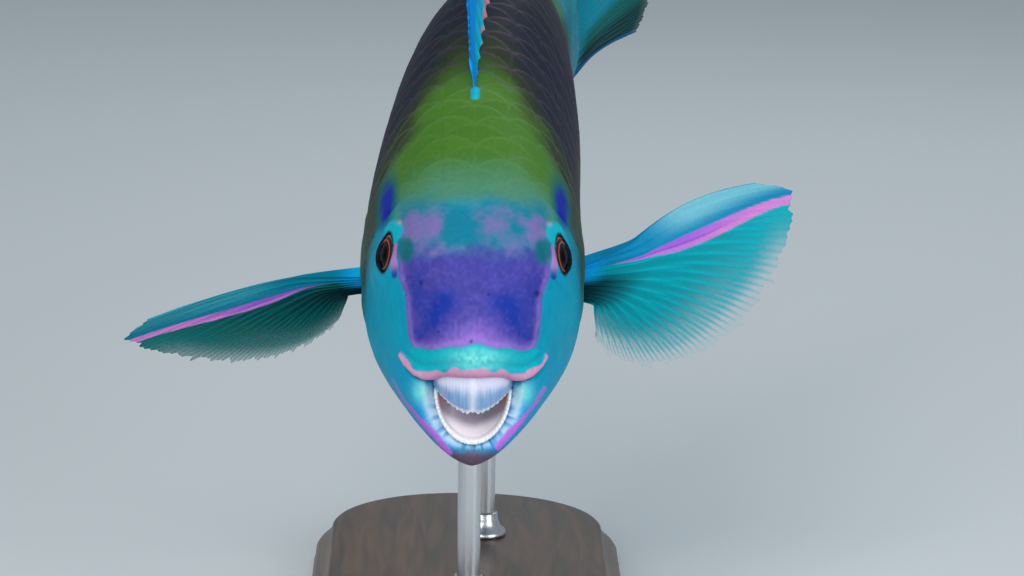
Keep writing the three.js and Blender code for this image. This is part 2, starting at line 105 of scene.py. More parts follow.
# Eyes. The opening between the lids lies in the plane across the eye's axis.
EYE_CENTRE = (16.1, 37.2, 19.3)
EYE_RADIUS = 7.8
EYE_AXIS = (0.93, -0.25, 0.26)
BALL_RADIUS = 7.3
BALL_RINGS, BALL_AROUND = 160, 96
LID_LIFT, LID_SINK = 0.4, 1.3
LID_LONG, LID_WIDE, LID_TURN, LID_SHIFT, LID_BULGE = 4.8, 3.5, 0.5, 1.1, 0.12
NOSTRILS = [(20.6, 17.8, 0.45), (23.0, 20.2, 0.5)]
NOSTRIL_DEPTH = 0.6

# Lips: how far the upper one hangs in the middle, and the pink edge's height on the face
LIP_HANG = 1.3
LIP_SIDE = [0, 2.5, 5, 8, 10, 12, 14, 16, 17.2, 18]
LIP_CLIMB = [5.3, 5.5, 5.5, 5.2, 4.9, 4.9, 5.8, 7.7, 9.8, 12.5]

# Rear edge of the gill cover: up and back
GILL_UP = [-60, -48, -37, -29, -19, -8, 3, 12, 20, 28, 40, 60]
GILL_BACK = [40, 48, 56, 67, 77, 83, 83.5, 79, 72, 68, 70, 72]
CHEEK_FOLD = 24

# Marks on the face: half width of the snout patch at heights on the face, and lines of the stripes
PATCH_CLIMB = [11, 11.8, 13.6, 18.5, 22.5, 25.5, 28, 34, 40]
PATCH_SIDE = [13.2, 14.5, 15.3, 15.9, 16.2, 16.9, 18.0, 18.4, 18.4]
JAW_STRIPES = [
    [(-19.4, 3.2), (-16.4, -1.5), (-12.2, -6.4), (-8.5, -10.0), (-5.6, -13.8)],
    [(17.2, 2.0), (15.3, -1.3), (12.0, -5.7), (8.9, -8.9), (6.2, -12.2)],
]
EYE_STRIPE = [(18.6, 35.9), (19.2, 32.5), (19.2, 28.6)]

# Blots on the face: place across, height on the face, size, strength and squash of the height
SNOUT_SPOTS = [
    (15.0, 24.6, 0.7, 1, 1), (-12.6, 26.8, 0.5, 1, 1), (-0.6, 13.0, 0.4, 1, 1), (3.4, 24.2, 0.35, 1, 1),
    (-8.2, 15.2, 0.35, 1, 1),
]
LILAC_CLOUDS = [
    (5.6, 41.5, 5.0, 1, 0.8), (-10.6, 40.6, 4.2, 1, 1), (-4.6, 38, 3.0, -0.9, 1), (6, 36.8, 2.6, -0.7, 1),
]
LILAC_CLOUDS_BOTH_SIDES = [(15.4, 40.4, 3.4, 1, 1)]
ROYAL_BLOTS = [
    (9.3, 18.6, 3.3, 1, 0.62), (6.4, 22.6, 2.8, 0.75, 1), (14, 25, 2.4, 0.6, 0.5), (12.6, 13.6, 2.4, 0.5, 1),
]
PINK_DOT = [(18.0, 41.4, 0.55, 0.7, 1)]

# Ovals on the face: middle across, middle height, half width and half height
TEAL_SPOT = (16.5, 34.7, 2.2, 3.3)
MOUTH_OVAL = (0, -2.6, 9.4, 9.1)

# Scales
SCALE_PITCH = 8.2
SCALE_ROWS = 13
SCALE_LIFT = 0.36
SCALE_DRAW = 0.8
SCALE_REACH = 1.05

# Fins: rays, rows of steps along them, columns of steps from ray to ray, then the fin's own sizes.
# Half a fin's thickness goes from root to EDGE_HALF, and the pectoral fins' from thick to edge.
EDGE_HALF = 0.34
DORSAL = dict(
    rays=19, rows=44, columns=12, start=78, end=214, sign=1, sunk=4, root=1.4, tilt=0.24)
ANAL = dict(
    rays=12, rows=44, columns=12, start=158, end=214, sign=-1, sunk=4, root=1.2, tilt=0)
CAUDAL = dict(
    rays=15, rows=80, columns=14, back=249, sunk=1, foot=13.5, centre=1.4, spread=0.07, curl=0.05, middle=72,
    corner=10, root=1.7)
PECTORAL = dict(
    rays=14, rows=96, columns=16, root=(22.5, 84, -4.5), foot=(22, 86.5, -10.5), lobe=9, nick=14,
    thick=2.1, edge=0.32)
PELVIC = dict(
    rays=6, rows=50, columns=14, start=88, end=95, side=3.5, spread=7, long=37, short=17, sunk=4.2, root=1.3)
PECTORAL_DOWN = math.radians(24)
PECTORAL_POSE = {
    1: dict(
        lead=0.58, trail=-1.5, sweep_lead=0.42, sweep_trail=0.75, cup=5,
        long=66, short=18, fall=0.85, fray=0.8),
    -1: dict(
        lead=-0.27, trail=-1.2, sweep_lead=0.2, sweep_trail=0.8, cup=2,
        long=69, short=14, fall=1.05, fray=0.3),
}
# The knob of skin ahead of the dorsal fin: middle behind the fin's start, half length, width and height
KNOB_BEHIND, KNOB_HALF, KNOB_WIDTH, KNOB_LIFT = 1.5, 1.8, 1.1, 1.1

# Beak
GAP = 0.32
UPPER_BEAK = dict(
    side=9.6, front=4.4, reach=7.8, thick=1.7, tip=-7.2, rise=5.4, power=1.6,
    notch=0.7, scallop=0.35, bulge=1.6)
LOWER_BEAK = dict(side=9.3, front=10.2, bow=2.4, top=-3.1, drop=13.5, long=6.2, thick=1.4, scallop=0.3)
BEAK_STEPS = 220
BEAK_LEVELS = 46
# The bowl behind the lower beak: how far it lies inside the beak, height above, depth and thickness
BOWL_IN, BOWL_HIGH, BOWL_DEEP, BOWL_THICK = 0.9, 8.2, 5, 0.5

# Stand: the base's edge as inset and height, and a collar's outline as radius and height
BASE_LONG, BASE_WIDE, BASE_HIGH, BASE_CORNER = 170, 84, 11, 40
CORNER_STEPS = 24
BASE_EDGE = [
    (0, 0), (0, 0.6), (0.6, 1.2), (0.6, 4.2), (1.4, 5.4),
    (3.2, 7.0), (4.6, 8.6), (5.0, 10.2), (5.6, 10.8), (6.6, 11.0),
]
COLLAR = [(3.3, 0), (6.2, 0), (6.2, 0.8), (5.8, 1.6), (4.6, 2.4), (3.9, 4.6), (3.7, 6.2), (3.3, 6.6)]
COLLAR_AROUND = 48
ROD_BACKS = dict(front=76, rear=141)


# Numbers

def smooth(low, high, x):
    """A soft step from 0 at low to 1 at high."""
    t = np.clip((x - low) / (high - low), 0, 1)
    return t * t * (3 - 2 * t)


def fade(low, high, x):
    """A soft step from 1 at low to 0 at high."""
    return 1 - smooth(low, high, x)


def between(start, full, last, end, x):
    """A soft plateau: up from start to full, and down from last to end."""
    return smooth(start, full, x) * fade(last, end, x)


def mix(a, b, t):
    return a + (b - a) * t


def hill(x, middle, width):
    return np.exp(-((x - middle) / width) ** 2)


def stack3(a, b, c):
    return np.stack(np.broadcast_arrays(a, b, c), -1).astype(float)


def unit(vector):
    """The vector, or each vector of an array, at length 1."""
    return vector / np.maximum(np.linalg.norm(vector, axis=-1, keepdims=True), 1e-12)


def lattice(i, j, k, seed):
    """A number from -1 to 1 for whole numbers i, j and k, by large odd factors that scatter it."""
    n = (i * 73856093) ^ (j * 19349663) ^ (k * 83492791) ^ (seed * 2654435)
    n = (n ^ (n >> 13)) * 1274126177
    return ((n ^ (n >> 16)) & 0xFFFF) / 32767.5 - 1


def noise(p, size, seed):
    """Smooth noise from -1 to 1 at points p, with lumps of about that size."""
    q = p / size
    cell = np.floor(q).astype(np.int64)
    f = q - cell
    f = f * f * (3 - 2 * f)
    i, j, k = np.moveaxis(cell, -1, 0)
    total = 0
    for a in (0, 1):
        for b in (0, 1):
            for c in (0, 1):
                weight = np.prod(np.where([a, b, c], f, 1 - f), axis=-1)
                total = total + weight * lattice(i + a, j + b, k + c, seed)
    return total


def clouds(p, size, seed):
    """Three layers of noise, each half as large and half as strong as the one before."""
    layers = [noise(p, size / 2**k, seed + 17 * k) / 2**k for k in range(3)]
    return sum(layers) / 1.6


def polyline_distance(x, y, points):
    """Distance to a line of points and the share of the way along it."""
    points = np.array(points, float)
    best = np.full(np.shape(x), np.inf)
    along = np.zeros(np.shape(x))
    count = len(points) - 1
    for k, (a, b) in enumerate(zip(points[:-1], points[1:])):
        span = b - a
        t = np.clip(((x - a[0]) * span[0] + (y - a[1]) * span[1]) / (span @ span), 0, 1)
        d = np.hypot(x - a[0] - t * span[0], y - a[1] - t * span[1])
        near = d < best
        best = np.where(near, d, best)
        along = np.where(near, (k + t) / count, along)
    return best, along


# Colours

def colour(red, green, blue):
    """An sRGB colour of 0 to 255 as linear numbers."""
    c = np.array([red, green, blue]) / 255
    return np.where(c <= 0.04045, c / 12.92, ((c + 0.055) / 1.055) ** 2.4)


TURQUOISE = colour(0, 158, 184)
CHEEK_DEEP = colour(0, 124, 168)
CHEEK_LOW = colour(12, 150, 196)
MINT = colour(120, 220, 214)
LIP_TEAL = colour(4, 166, 182)
PURPLE = colour(70, 68, 156)
VIOLET = colour(142, 108, 196)
ROYAL = colour(12, 50, 150)
SPOT_DARK = colour(30, 14, 70)
LILAC = colour(134, 104, 176)
MOTTLE_TEAL = colour(22, 122, 150)
PINK = colour(200, 142, 176)
LIP_ROSE = colour(196, 118, 178)
LIP_SHADOW = colour(8, 40, 84)
STRIPE = colour(176, 108, 212)
EYE_PINK = colour(186, 112, 190)
TEAL_GREEN = colour(0, 104, 112)
TEMPLE_TEAL = colour(0, 96, 96)
TEMPLE_BLUE = colour(6, 34, 160)
BROW = colour(4, 176, 194)
OLIVE = colour(70, 118, 30)
NAPE_TEAL = colour(76, 136, 108)
BACK_DARK = colour(26, 30, 52)
BACK_BROWN = colour(44, 48, 34)
SHOULDER = colour(42, 58, 34)
FLANK_GREEN = colour(36, 104, 92)
BELLY_BLUE = colour(24, 140, 170)
TAIL_CYAN = colour(0, 138, 160)
RIM_PALE = colour(136, 168, 104)
RIM_BROWN = colour(84, 56, 92)
RIM_ROSY = colour(150, 88, 104)
JAW_BLUE = colour(10, 138, 208)
JAW_PALE = colour(196, 226, 236)
JAW_FRINGE = colour(206, 226, 240)
JAW_TEAL = colour(30, 110, 140)
CHIN = colour(104, 62, 72)
LINING = colour(226, 206, 214)
BOWL = colour(240, 230, 238)
BOWL_LILAC = colour(216, 202, 220)
BOWL_SHADOW = colour(112, 100, 122)
BOWL_CORNER = colour(232, 120, 96)
ENAMEL = colour(230, 232, 240)
ENAMEL_GREY = colour(206, 208, 230)
BEAK_BLUE = colour(76, 136, 188)
LID_DARK = colour(10, 14, 26)
IRIS = colour(78, 30, 24)
IRIS_DARK = colour(34, 12, 12)
IRIS_RING = colour(190, 104, 76)
IRIS_EDGE = colour(216, 116, 112)
PUPIL = colour(6, 2, 5)
FIN_BLUE = colour(0, 146, 230)
FIN_CYAN = colour(6, 176, 212)
FIN_SALMON = colour(206, 140, 150)
FIN_TEAL = colour(0, 128, 138)
FIN_DEEP = colour(0, 34, 40)
FIN_VIOLET = colour(156, 96, 210)
FIN_PINK = colour(208, 128, 204)
FIN_INDIGO = colour(60, 40, 150)
FIN_ROOT = colour(6, 168, 232)
CAUDAL_CYAN = colour(0, 142, 166)
CAUDAL_GREEN = colour(0, 98, 92)
CAUDAL_EDGE = colour(0, 96, 150)
# The pectoral fins' web, leading edge and its pale part, each in light and in shade
PECTORAL_WEB = (colour(0, 166, 182), colour(0, 112, 112))
PECTORAL_LEAD = (colour(10, 132, 176), colour(0, 122, 150))
PECTORAL_PALE = (colour(112, 184, 202), colour(50, 150, 170))
PECTORAL_TIP = colour(70, 170, 180)
WOOD_DARK = colour(44, 28, 18)
WOOD_LIGHT = colour(104, 70, 44)
FLOOR_GREY = colour(222, 228, 232)
SKY_GREY = colour(214, 228, 236)
STEEL_GREY = (0.62, 0.63, 0.65)


class Coat:
    """Colours painted over one another on an array of points, each by a share per point."""

    def __init__(self, base, shape):
        self.paint = np.broadcast_to(base, shape + (3,))

    def add(self, over, share):
        share = np.clip(share, 0, 1)[..., None]
        self.paint = self.paint * (1 - share) + over * share

    def shade(self, factor):
        self.paint = self.paint * factor[..., None]


# Shape of the body

def station(s):
    """Body stations at places s between the given ones, by a curve that doesn't overshoot."""
    last = len(STATIONS) - 1
    steps = np.diff(STATIONS, axis=0)
    slopes = np.zeros_like(STATIONS)
    slopes[0], slopes[-1] = steps[0], steps[-1]
    before, after = steps[:-1], steps[1:]
    level = before * after <= 0
    slopes[1:-1] = np.where(level, 0, 2 * before * after / np.where(level, 1, before + after))
    i = np.clip(np.floor(s).astype(int), 0, last - 1)
    t = (s - i)[..., None]
    return (
        STATIONS[i] * (1 + 2 * t) * (1 - t) ** 2
        + slopes[i] * t * (1 - t) ** 2
        + STATIONS[i + 1] * t * t * (3 - 2 * t)
        + slopes[i + 1] * t * t * (t - 1)
    )


def ring_points(values, angle):
    """Points of the body's rings at angles from the top, from their station values."""
    back, mid, up, down, side, lean, bow, square, keel = np.moveaxis(values, -1, 0)
    exponent = 2 / np.where(np.cos(angle) > 0, square, keel)

    def power(x):
        return np.sign(x) * np.abs(x) ** exponent

    across = power(np.sin(angle))
    rise = power(np.cos(angle))
    height = rise * np.where(rise > 0, up, down)
    return np.stack([side * across, back - lean * height + bow * across**2, mid + height], -1)


def bend(p):
    """Straight fish to bent fish: an arc to the left behind the shoulders."""
    side, back, up = np.moveaxis(p, -1, 0)
    turn = np.maximum(0, back - BEND_START) / BEND_RADIUS
    past = back > BEND_START
    x = np.where(past, BEND_RADIUS - (BEND_RADIUS - side) * np.cos(turn), side)
    y = np.where(past, BEND_START + (BEND_RADIUS - side) * np.sin(turn), back)
    return np.stack([x, y, up], -1)


def place(p):
    """Fish frame in millimetres to the part's frame in metres."""
    x, y, up = np.moveaxis(bend(np.asarray(p, float)), -1, 0)
    return MM * np.stack([
        x,
        SNOUT_Y + y * math.cos(PITCH) - up * math.sin(PITCH),
        SNOUT_Z + y * math.sin(PITCH) + up * math.cos(PITCH),
    ], -1)


# The back's and the belly's outlines, from behind the lips to the tail
EDGE_S = np.linspace(2, len(STATIONS) - 1, 2000)
TOP_EDGE, LOW_EDGE = [ring_points(station(EDGE_S), np.full(EDGE_S.size, angle)) for angle in (0.0, math.pi)]


def back_line(back):
    return np.interp(back, TOP_EDGE[:, 1], TOP_EDGE[:, 2])


def belly_line(back):
    return np.interp(back, LOW_EDGE[:, 1], LOW_EDGE[:, 2])


# Mesh making

def grid_faces(rows, columns, closed):
    """Quads of a grid of points, rows by columns, closed round the columns or open."""
    i = np.arange(rows - 1)[:, None]
    j = np.arange(columns if closed else columns - 1)[None, :]
    k = (j + 1) % columns
    corners = (i * columns + j, i * columns + k, (i + 1) * columns + k, (i + 1) * columns + j)
    return np.stack(corners, -1).reshape(-1, 4)


def mesh_object(name, points, quads, material, tris=(), uv=None, **attributes):
    """A mesh object from points in metres, quads and triangles, with colours or numbers at the points."""
    quads = np.asarray(quads, np.int64).reshape(-1, 4)
    tris = np.asarray(tris, np.int64).reshape(-1, 3)
    mesh = bpy.data.meshes.new(name)
    mesh.vertices.add(len(points))
    mesh.vertices.foreach_set("co", np.asarray(points, np.float32).ravel())
    corners = np.concatenate([quads.ravel(), tris.ravel()]).astype(np.int32)
    starts = np.concatenate([np.arange(len(quads)) * 4, len(quads) * 4 + np.arange(len(tris)) * 3])
    mesh.loops.add(len(corners))
    mesh.loops.foreach_set("vertex_index", corners)
    mesh.polygons.add(len(starts))
    mesh.polygons.foreach_set("loop_start", starts.astype(np.int32))
    mesh.update(calc_edges=True)
    mesh.validate()
    mesh.polygons.foreach_set("use_smooth", np.ones(len(mesh.polygons), bool))
    for key, values in attributes.items():
        values = np.asarray(values, np.float32)
        if values.ndim > 1:
            data = mesh.attributes.new(key, "FLOAT_COLOR", "POINT")
            rgba = np.ones((len(points), 4), np.float32)
            rgba[:, :3] = values
            data.data.foreach_set("color", rgba.ravel())
        else:
            data = mesh.attributes.new(key, "FLOAT", "POINT")
            data.data.foreach_set("value", values)
    if uv is not None:
        layer = mesh.uv_layers.new(name="OFBake")
        layer.data.foreach_set("uv", np.asarray(uv, np.float32)[corners].ravel())
    thing = bpy.data.objects.new(name, mesh)
    bpy.context.scene.collection.objects.link(thing)
    mesh.materials.append(material)
    return thing


def tube_mesh(name, rows, ends, material, uv=None, **attributes):
    """A closed surface over rings of points in metres, with a fan of triangles to a point at each end."""
    count, loop = rows.shape[:2]
    j = np.arange(loop)
    k = (j + 1) % loop
    first = np.full(loop, count * loop)
    tail = (count - 1) * loop
    tris = np.concatenate([np.stack([first, k, j], -1), np.stack([first + 1, tail + j, tail + k], -1)])
    points = np.concatenate([rows.reshape(-1, 3), ends])
    return mesh_object(name, points, grid_faces(count, loop, True), material, tris, uv, **attributes)


def with_ends(paint, first, last):
    """Colours of a tube's rings, and then of the points at its ends."""
    return np.concatenate([paint.reshape(-1, 3), [first, last]])


def piece(thing, slot, *nodes):
    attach(thing, "root")
    if nodes:
        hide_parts(*nodes)
    return thing


# Skin: mouth pocket, lips, head, trunk and tail root in one surface

def skin_rows():
    """Station values of the skin's rings, and their places s: below 0 in the mouth pocket."""
    pocket = np.linspace(0, 1, MOUTH_ROWS, endpoint=False)
    keys = np.linspace(0, 1, len(MOUTH_RINGS) + 1)
    depth, share, low = [
        np.interp(pocket, keys, [ring[k] for ring in reversed(MOUTH_RINGS)] + [k > 0]) for k in range(3)]
    rim = np.repeat(STATIONS[:1], MOUTH_ROWS, axis=0)
    rim[:, BACK] += depth
    rim[:, DOWN] *= low
    for column in (UP, SIDE, BOW):
        rim[:, column] *= share
    s = [i + np.arange(n) / n for i, n in enumerate(ROWS_PER_STATION)] + [[len(STATIONS) - 1.0]]
    s = np.concatenate(s)
    values = np.concatenate([rim, station(s)])
    drawn = smooth(*TAIL_DRAW_IN, values[:, BACK])[:, None]
    values[:, UP:LEAN] = mix(values[:, UP:LEAN], TAIL_END, drawn)
    return values, np.concatenate([pocket - 1, s])


def scale_field(along, row):
    """Scales lie over one another in rows. How far ahead of its rear edge a point lies on the scale that
    shows there, in pitches, with that scale's number and the point's place across it."""
    best = np.full(along.shape, np.inf)
    number = np.zeros(along.shape)
    across = np.zeros(along.shape)
    for step in (-1, 0, 1):
        j = np.round(row) + step
        y = row - j
        drawn = SCALE_DRAW * (1 - np.sqrt(np.clip(1 - (y / SCALE_REACH) ** 2, 0, 1)))
        u = along / SCALE_PITCH - 0.5 * (np.abs(j) % 2) + drawn
        ahead = np.ceil(u) - u
        better = (np.abs(y) < SCALE_REACH) & (ahead < best)
        best = np.where(better, ahead, best)
        number = np.where(better, np.ceil(u) * 31 + j * 17, number)
        across = np.where(better, y, across)
    return best, number, across


def scale_places(values, p):
    """Distance along the side, and rows of scales from the top, below 0 on the right side."""
    side_line = ring_points(values, np.full(len(values), math.pi / 2))
    along = np.concatenate([[0], np.cumsum(np.linalg.norm(np.diff(side_line, axis=0), axis=1))])
    steps = np.linalg.norm(np.roll(p, -1, axis=1) - p, axis=-1)
    middle = AROUND // 2
    left = np.cumsum(steps[:, middle:], axis=1)
    right = np.cumsum(steps[:, :middle][:, ::-1], axis=1)
    row = np.zeros(steps.shape)
    row[:, middle + 1:] = left[:, :-1] / left[:, -1:] * SCALE_ROWS
    row[:, :middle] = -(right / right[:, -1:] * SCALE_ROWS)[:, ::-1]
    return np.broadcast_to(along[:, None], steps.shape), row


def face_climb(p):
    """Height on the face as seen from the front and above."""
    return p[..., 2] * math.cos(CAMERA_DOWN) + p[..., 1] * math.sin(CAMERA_DOWN)


def eye_plane(q):
    """From the eye's centre: distances along its axis and off it, and the share of the way to the lids."""
    axis = unit(np.array(EYE_AXIS))
    rise = np.array([0, math.sin(CAMERA_DOWN), math.cos(CAMERA_DOWN)])
    rise = unit(rise - (rise @ axis) * axis)
    v1, v2 = q @ rise, q @ np.cross(axis, rise)
    long = v1 * math.cos(LID_TURN) - v2 * math.sin(LID_TURN)
    short = v1 * math.sin(LID_TURN) + v2 * math.cos(LID_TURN) - LID_SHIFT
    bulge = 1 + LID_BULGE * (long / LID_LONG) ** 2
    return q @ axis, np.hypot(v1, v2), np.hypot(long / LID_LONG, short * bulge / LID_WIDE)


class Marks:
    """Places, distances and shares on the skin that both the relief and the colours use."""

    def __init__(self, p, s, angle, along, row):
        self.side, self.back, self.up = np.moveaxis(p, -1, 0)
        self.wide = np.abs(self.side)
        self.turned = np.abs(angle)
        self.climb = face_climb(p)
        self.pocket = s < 0
        self.lining = s < -0.35
        self.front = fade(20, 30, self.back)
        self.face = fade(48, 51, self.back)
        # Heights on the face above the pink lip edge and above the lower edge of the purple snout patch
        self.lip = self.climb - np.interp(self.wide, LIP_SIDE, LIP_CLIMB)
        ripple = 0.2 * np.sin(self.side * 0.9 + 0.6) - 0.25 * hill(self.wide, 11, 1.6)
        self.pad = self.climb - (11.3 + 1.05 * hill(self.side, 0.5, 4.6) + ripple)
        # Distances out from the snout patch's sides, behind the gill cover and from the eye's ball
        self.edge = self.wide - np.interp(self.climb, PATCH_CLIMB, PATCH_SIDE)
        self.gill = self.back - np.interp(self.up, GILL_UP, GILL_BACK)
        from_eye = np.stack([self.wide, self.back, self.up], -1) - np.array(EYE_CENTRE)
        self.eye = np.linalg.norm(from_eye, axis=-1) - EYE_RADIUS
        self.axial, self.off_axis, self.opening = eye_plane(from_eye)
        beyond = np.maximum(np.abs(self.back - DORSAL["start"] - KNOB_BEHIND) - KNOB_HALF, 0)
        self.knob = hill(np.hypot(self.side, beyond), 0, KNOB_WIDTH) * (self.up > 0)
        self.ahead, self.number, self.across = scale_field(along, row)
        nape = smooth(33, 50, self.back) * fade(0.35, 1.1, self.turned)
        cheek = 0.6 * smooth(44, 56, self.back) * fade(14, 24, self.up)
        body = smooth(56, 70, self.back)
        scaled = np.maximum(np.maximum(nape, cheek), body)
        self.scaled = scaled * smooth(2, 7, self.eye) * fade(246, 252, self.back)
        # Unevenness of the colours, from large lumps to streaks
        self.coarse, self.fine = clouds(p, 9, 11), clouds(p, 3.2, 23)
        self.speck = noise(p * np.array([1, 0.3, 1]), 0.7, 37)
        self.streak = noise(p * np.array([1, 0.16, 0.5]), 1.3, 31)


# Relief of the skin, in millimetres out from its smooth form

def scale_relief(m):
    lift = SCALE_LIFT * mix(0.22, 1, smooth(62, 92, m.back))
    return m.scaled * lift * (np.clip(1 - m.ahead / 0.62, 0, 1) - 0.35 - 0.12 * m.across**2)


def gill_relief(m):
    """The gill cover rises to its free edge, with a groove behind it and a fold of the cheek ahead."""
    flank = between(0.5, 0.8, 2.7, 2.95, m.turned)
    lid = 1.1 * between(-16, -1.5, -0.8, 0.5, m.gill) - 0.9 * hill(m.gill, 1.4, 1.3)
    fold = m.gill + CHEEK_FOLD
    cheek = 0.5 * (between(-6, 0, 0, 1.6, fold) - 0.6 * hill(fold, 1.6, 1.4))
    return flank * (lid * mix(1, 0.3, smooth(-6, 12, m.up)) + cheek)


def mouth_relief(m):
    """The pink lip edge is a rounded fold between two creases, and the snout pad lies over the lip band."""
    reach = between(2.2, 3.4, 9.6, 10.8, m.climb) * fade(16.9, 18.0, m.wide)
    fold = 0.95 * hill(m.lip, 0, 1.15 + 0.3 * hill(m.side, 0, 6))
    creases = 0.7 * hill(m.lip, -1.9, 0.8) + 0.35 * hill(m.lip, 2.0, 0.9)
    pad = 0.35 * (smooth(-0.5, 0.7, m.pad) - hill(m.pad, -0.9, 0.8)) * fade(4, 16, m.pad)
    return ~m.pocket * m.front * (reach * (fold - creases) + fade(13.2, 15.0, m.wide) * pad)


def with_lids(m, relief):
    """Raises a soft rim round each eye, draws the lids over its ball and opens them in the middle."""
    relief = relief + 0.3 * hill(m.eye, 0.75, 0.9) - 0.2 * hill(m.eye, 2.6, 0.9)
    reach = BALL_RADIUS + LID_LIFT
    dome = np.sqrt(np.maximum(reach**2 - m.off_axis**2, 0)) - m.axial
    near = (m.off_axis < reach) & (m.axial > 0)
    over = np.maximum(relief, dome)
    under = np.minimum(relief, dome - LID_LIFT - LID_SINK)
    return np.where(near, mix(under, over, smooth(0.96, 1.08, m.opening)), relief)


def skin_relief(p, m):
    relief = with_lids(m, scale_relief(m) + gill_relief(m) + mouth_relief(m))
    for back, up, radius in NOSTRILS:
        relief = relief - NOSTRIL_DEPTH * hill(np.hypot(m.back - back, m.up - up), 0, radius)
    uneven = 0.1 * clouds(p, 7, 5) * (1 - 0.6 * m.scaled)
    return relief + KNOB_LIFT * m.knob + uneven


# Colours of the skin, painted from the cheeks up to the lips

def blots(across, climb, table):
    """The sum of a table's soft blots on the face."""
    return sum(
        strength * hill(np.hypot(across - a, (climb - b) * squash), 0, size)
        for a, b, size, strength, squash in table)


def oval(across, climb, middle, height, wide, high):
    """Distance from an oval's middle, 1 at its edge."""
    return np.hypot((across - middle) / wide, (climb - height) / high)


def paint_cheeks(coat, m):
    coat.add(CHEEK_DEEP, 0.3 + 0.3 * m.coarse + 0.14 * m.streak)
    coat.add(CHEEK_LOW, 0.6 * m.front * fade(2, 14, m.climb) * (0.8 + 0.3 * m.streak))


def paint_body(coat, m):
    """Flanks and belly, then the nape, the dark back and the tail root."""
    body, low = smooth(46, 68, m.back), smooth(-8, -30, m.up)
    coat.add(FLANK_GREEN, body * (1 - low))
    coat.add(BELLY_BLUE, body * low * (0.75 + 0.2 * m.coarse))
    turned = m.turned + 0.12 * m.coarse
    crown = fade(0.6, 1.0, turned)
    coat.add(SHOULDER, 0.95 * smooth(40, 56, m.back) * between(0.5, 0.75, 1.3, 1.75, turned))
    coat.add(NAPE_TEAL, crown * smooth(31, 39, m.back))
    coat.add(OLIVE, 0.95 * crown * smooth(40, 56, m.back + 3 * m.coarse))
    behind = m.back + 24 * smooth(0.15, 0.8, turned) + 4 * m.coarse
    dorsum = fade(1.15, 1.6, turned) * fade(160, 205, m.back)
    coat.add(BACK_BROWN, 0.9 * smooth(82, 102, behind) * dorsum)
    coat.add(BACK_DARK, 0.85 * smooth(96, 122, behind) * dorsum)
    coat.add(TAIL_CYAN, 0.85 * smooth(206, 232, m.back + 4 * m.coarse))


def paint_scales(coat, m):
    """Each scale a little lighter or darker, with a rim: pale on the nape, brown on the back, rosy below."""
    tint = lattice(m.number.astype(np.int64), 0, 0, 3)
    coat.shade(1 + m.scaled * tint * mix(0.05, 0.16, smooth(62, 92, m.back)))
    rims = Coat(RIM_PALE, m.side.shape)
    rims.add(RIM_BROWN, smooth(70, 92, m.back))
    rims.add(RIM_ROSY, smooth(62, 84, m.back) * smooth(1.2, 1.6, m.turned + 0.12 * m.coarse))
    rim = np.clip(1 - m.ahead / 0.18, 0, 1)
    coat.add(rims.paint, m.scaled * rim * mix(0.12, 0.5, smooth(66, 92, m.back)))


def paint_forehead(coat, m):
    """Teal with lilac clouds above the snout patch."""
    forehead = smooth(29, 34, m.climb) * fade(42, 50, m.climb + 2.5 * m.fine)
    forehead = forehead * fade(43, 51, m.back + 2 * m.fine) * fade(-2.2, 1.2, m.edge + 0.8 * m.fine)
    coat.add(MOTTLE_TEAL, forehead)
    heaps = blots(m.side, m.climb, LILAC_CLOUDS) + blots(m.wide, m.climb, LILAC_CLOUDS_BOTH_SIDES)
    heaps = heaps + 0.5 * hill(m.climb, 35, 3) + 0.75 * m.fine
    coat.add(LILAC, 0.75 * forehead * smooth(0.1, 1.15, heaps))


def paint_snout(coat, m):
    """The purple patch, royal blue in its lower corners and violet along its edge, then the lip band."""
    patch = smooth(-0.3, 0.3, m.pad) * fade(-0.45, 0.45, m.edge + 0.25 * m.fine)
    patch = patch * fade(32, 37, m.climb + 2.5 * m.fine) * m.face
    coat.add(PURPLE * (1 + 0.12 * m.fine + 0.1 * m.speck)[..., None], patch)
    coat.add(ROYAL, 0.9 * patch * np.clip(blots(m.wide, m.climb, ROYAL_BLOTS) + 0.22 * m.fine, 0, 1))
    glow = 0.85 * (hill(m.side, 0, 7.5) * fade(0.3, 8.5, m.pad) + 0.75 * hill(m.pad, 0.3, 1.2))
    coat.add(VIOLET, patch * np.clip(glow + 0.55 * hill(m.edge, -0.6, 0.8) + 0.12 * m.speck, 0, 1))
    coat.shade(1 + 0.05 * patch * m.streak)
    coat.add(SPOT_DARK, 0.8 * patch * blots(m.side, m.climb, SNOUT_SPOTS))
    band = m.front * smooth(0.9, 1.3, m.lip) * fade(-0.3, 0.3, m.pad) * fade(14.4, 16.6, m.wide)
    coat.add(LIP_TEAL, band)
    shine = 0.8 * hill(m.side, 0.8, 5.6) * hill(m.climb, 8.9, 2.6) * (1 + 0.5 * m.speck)
    coat.add(MINT, band * np.clip(shine, 0, 1))


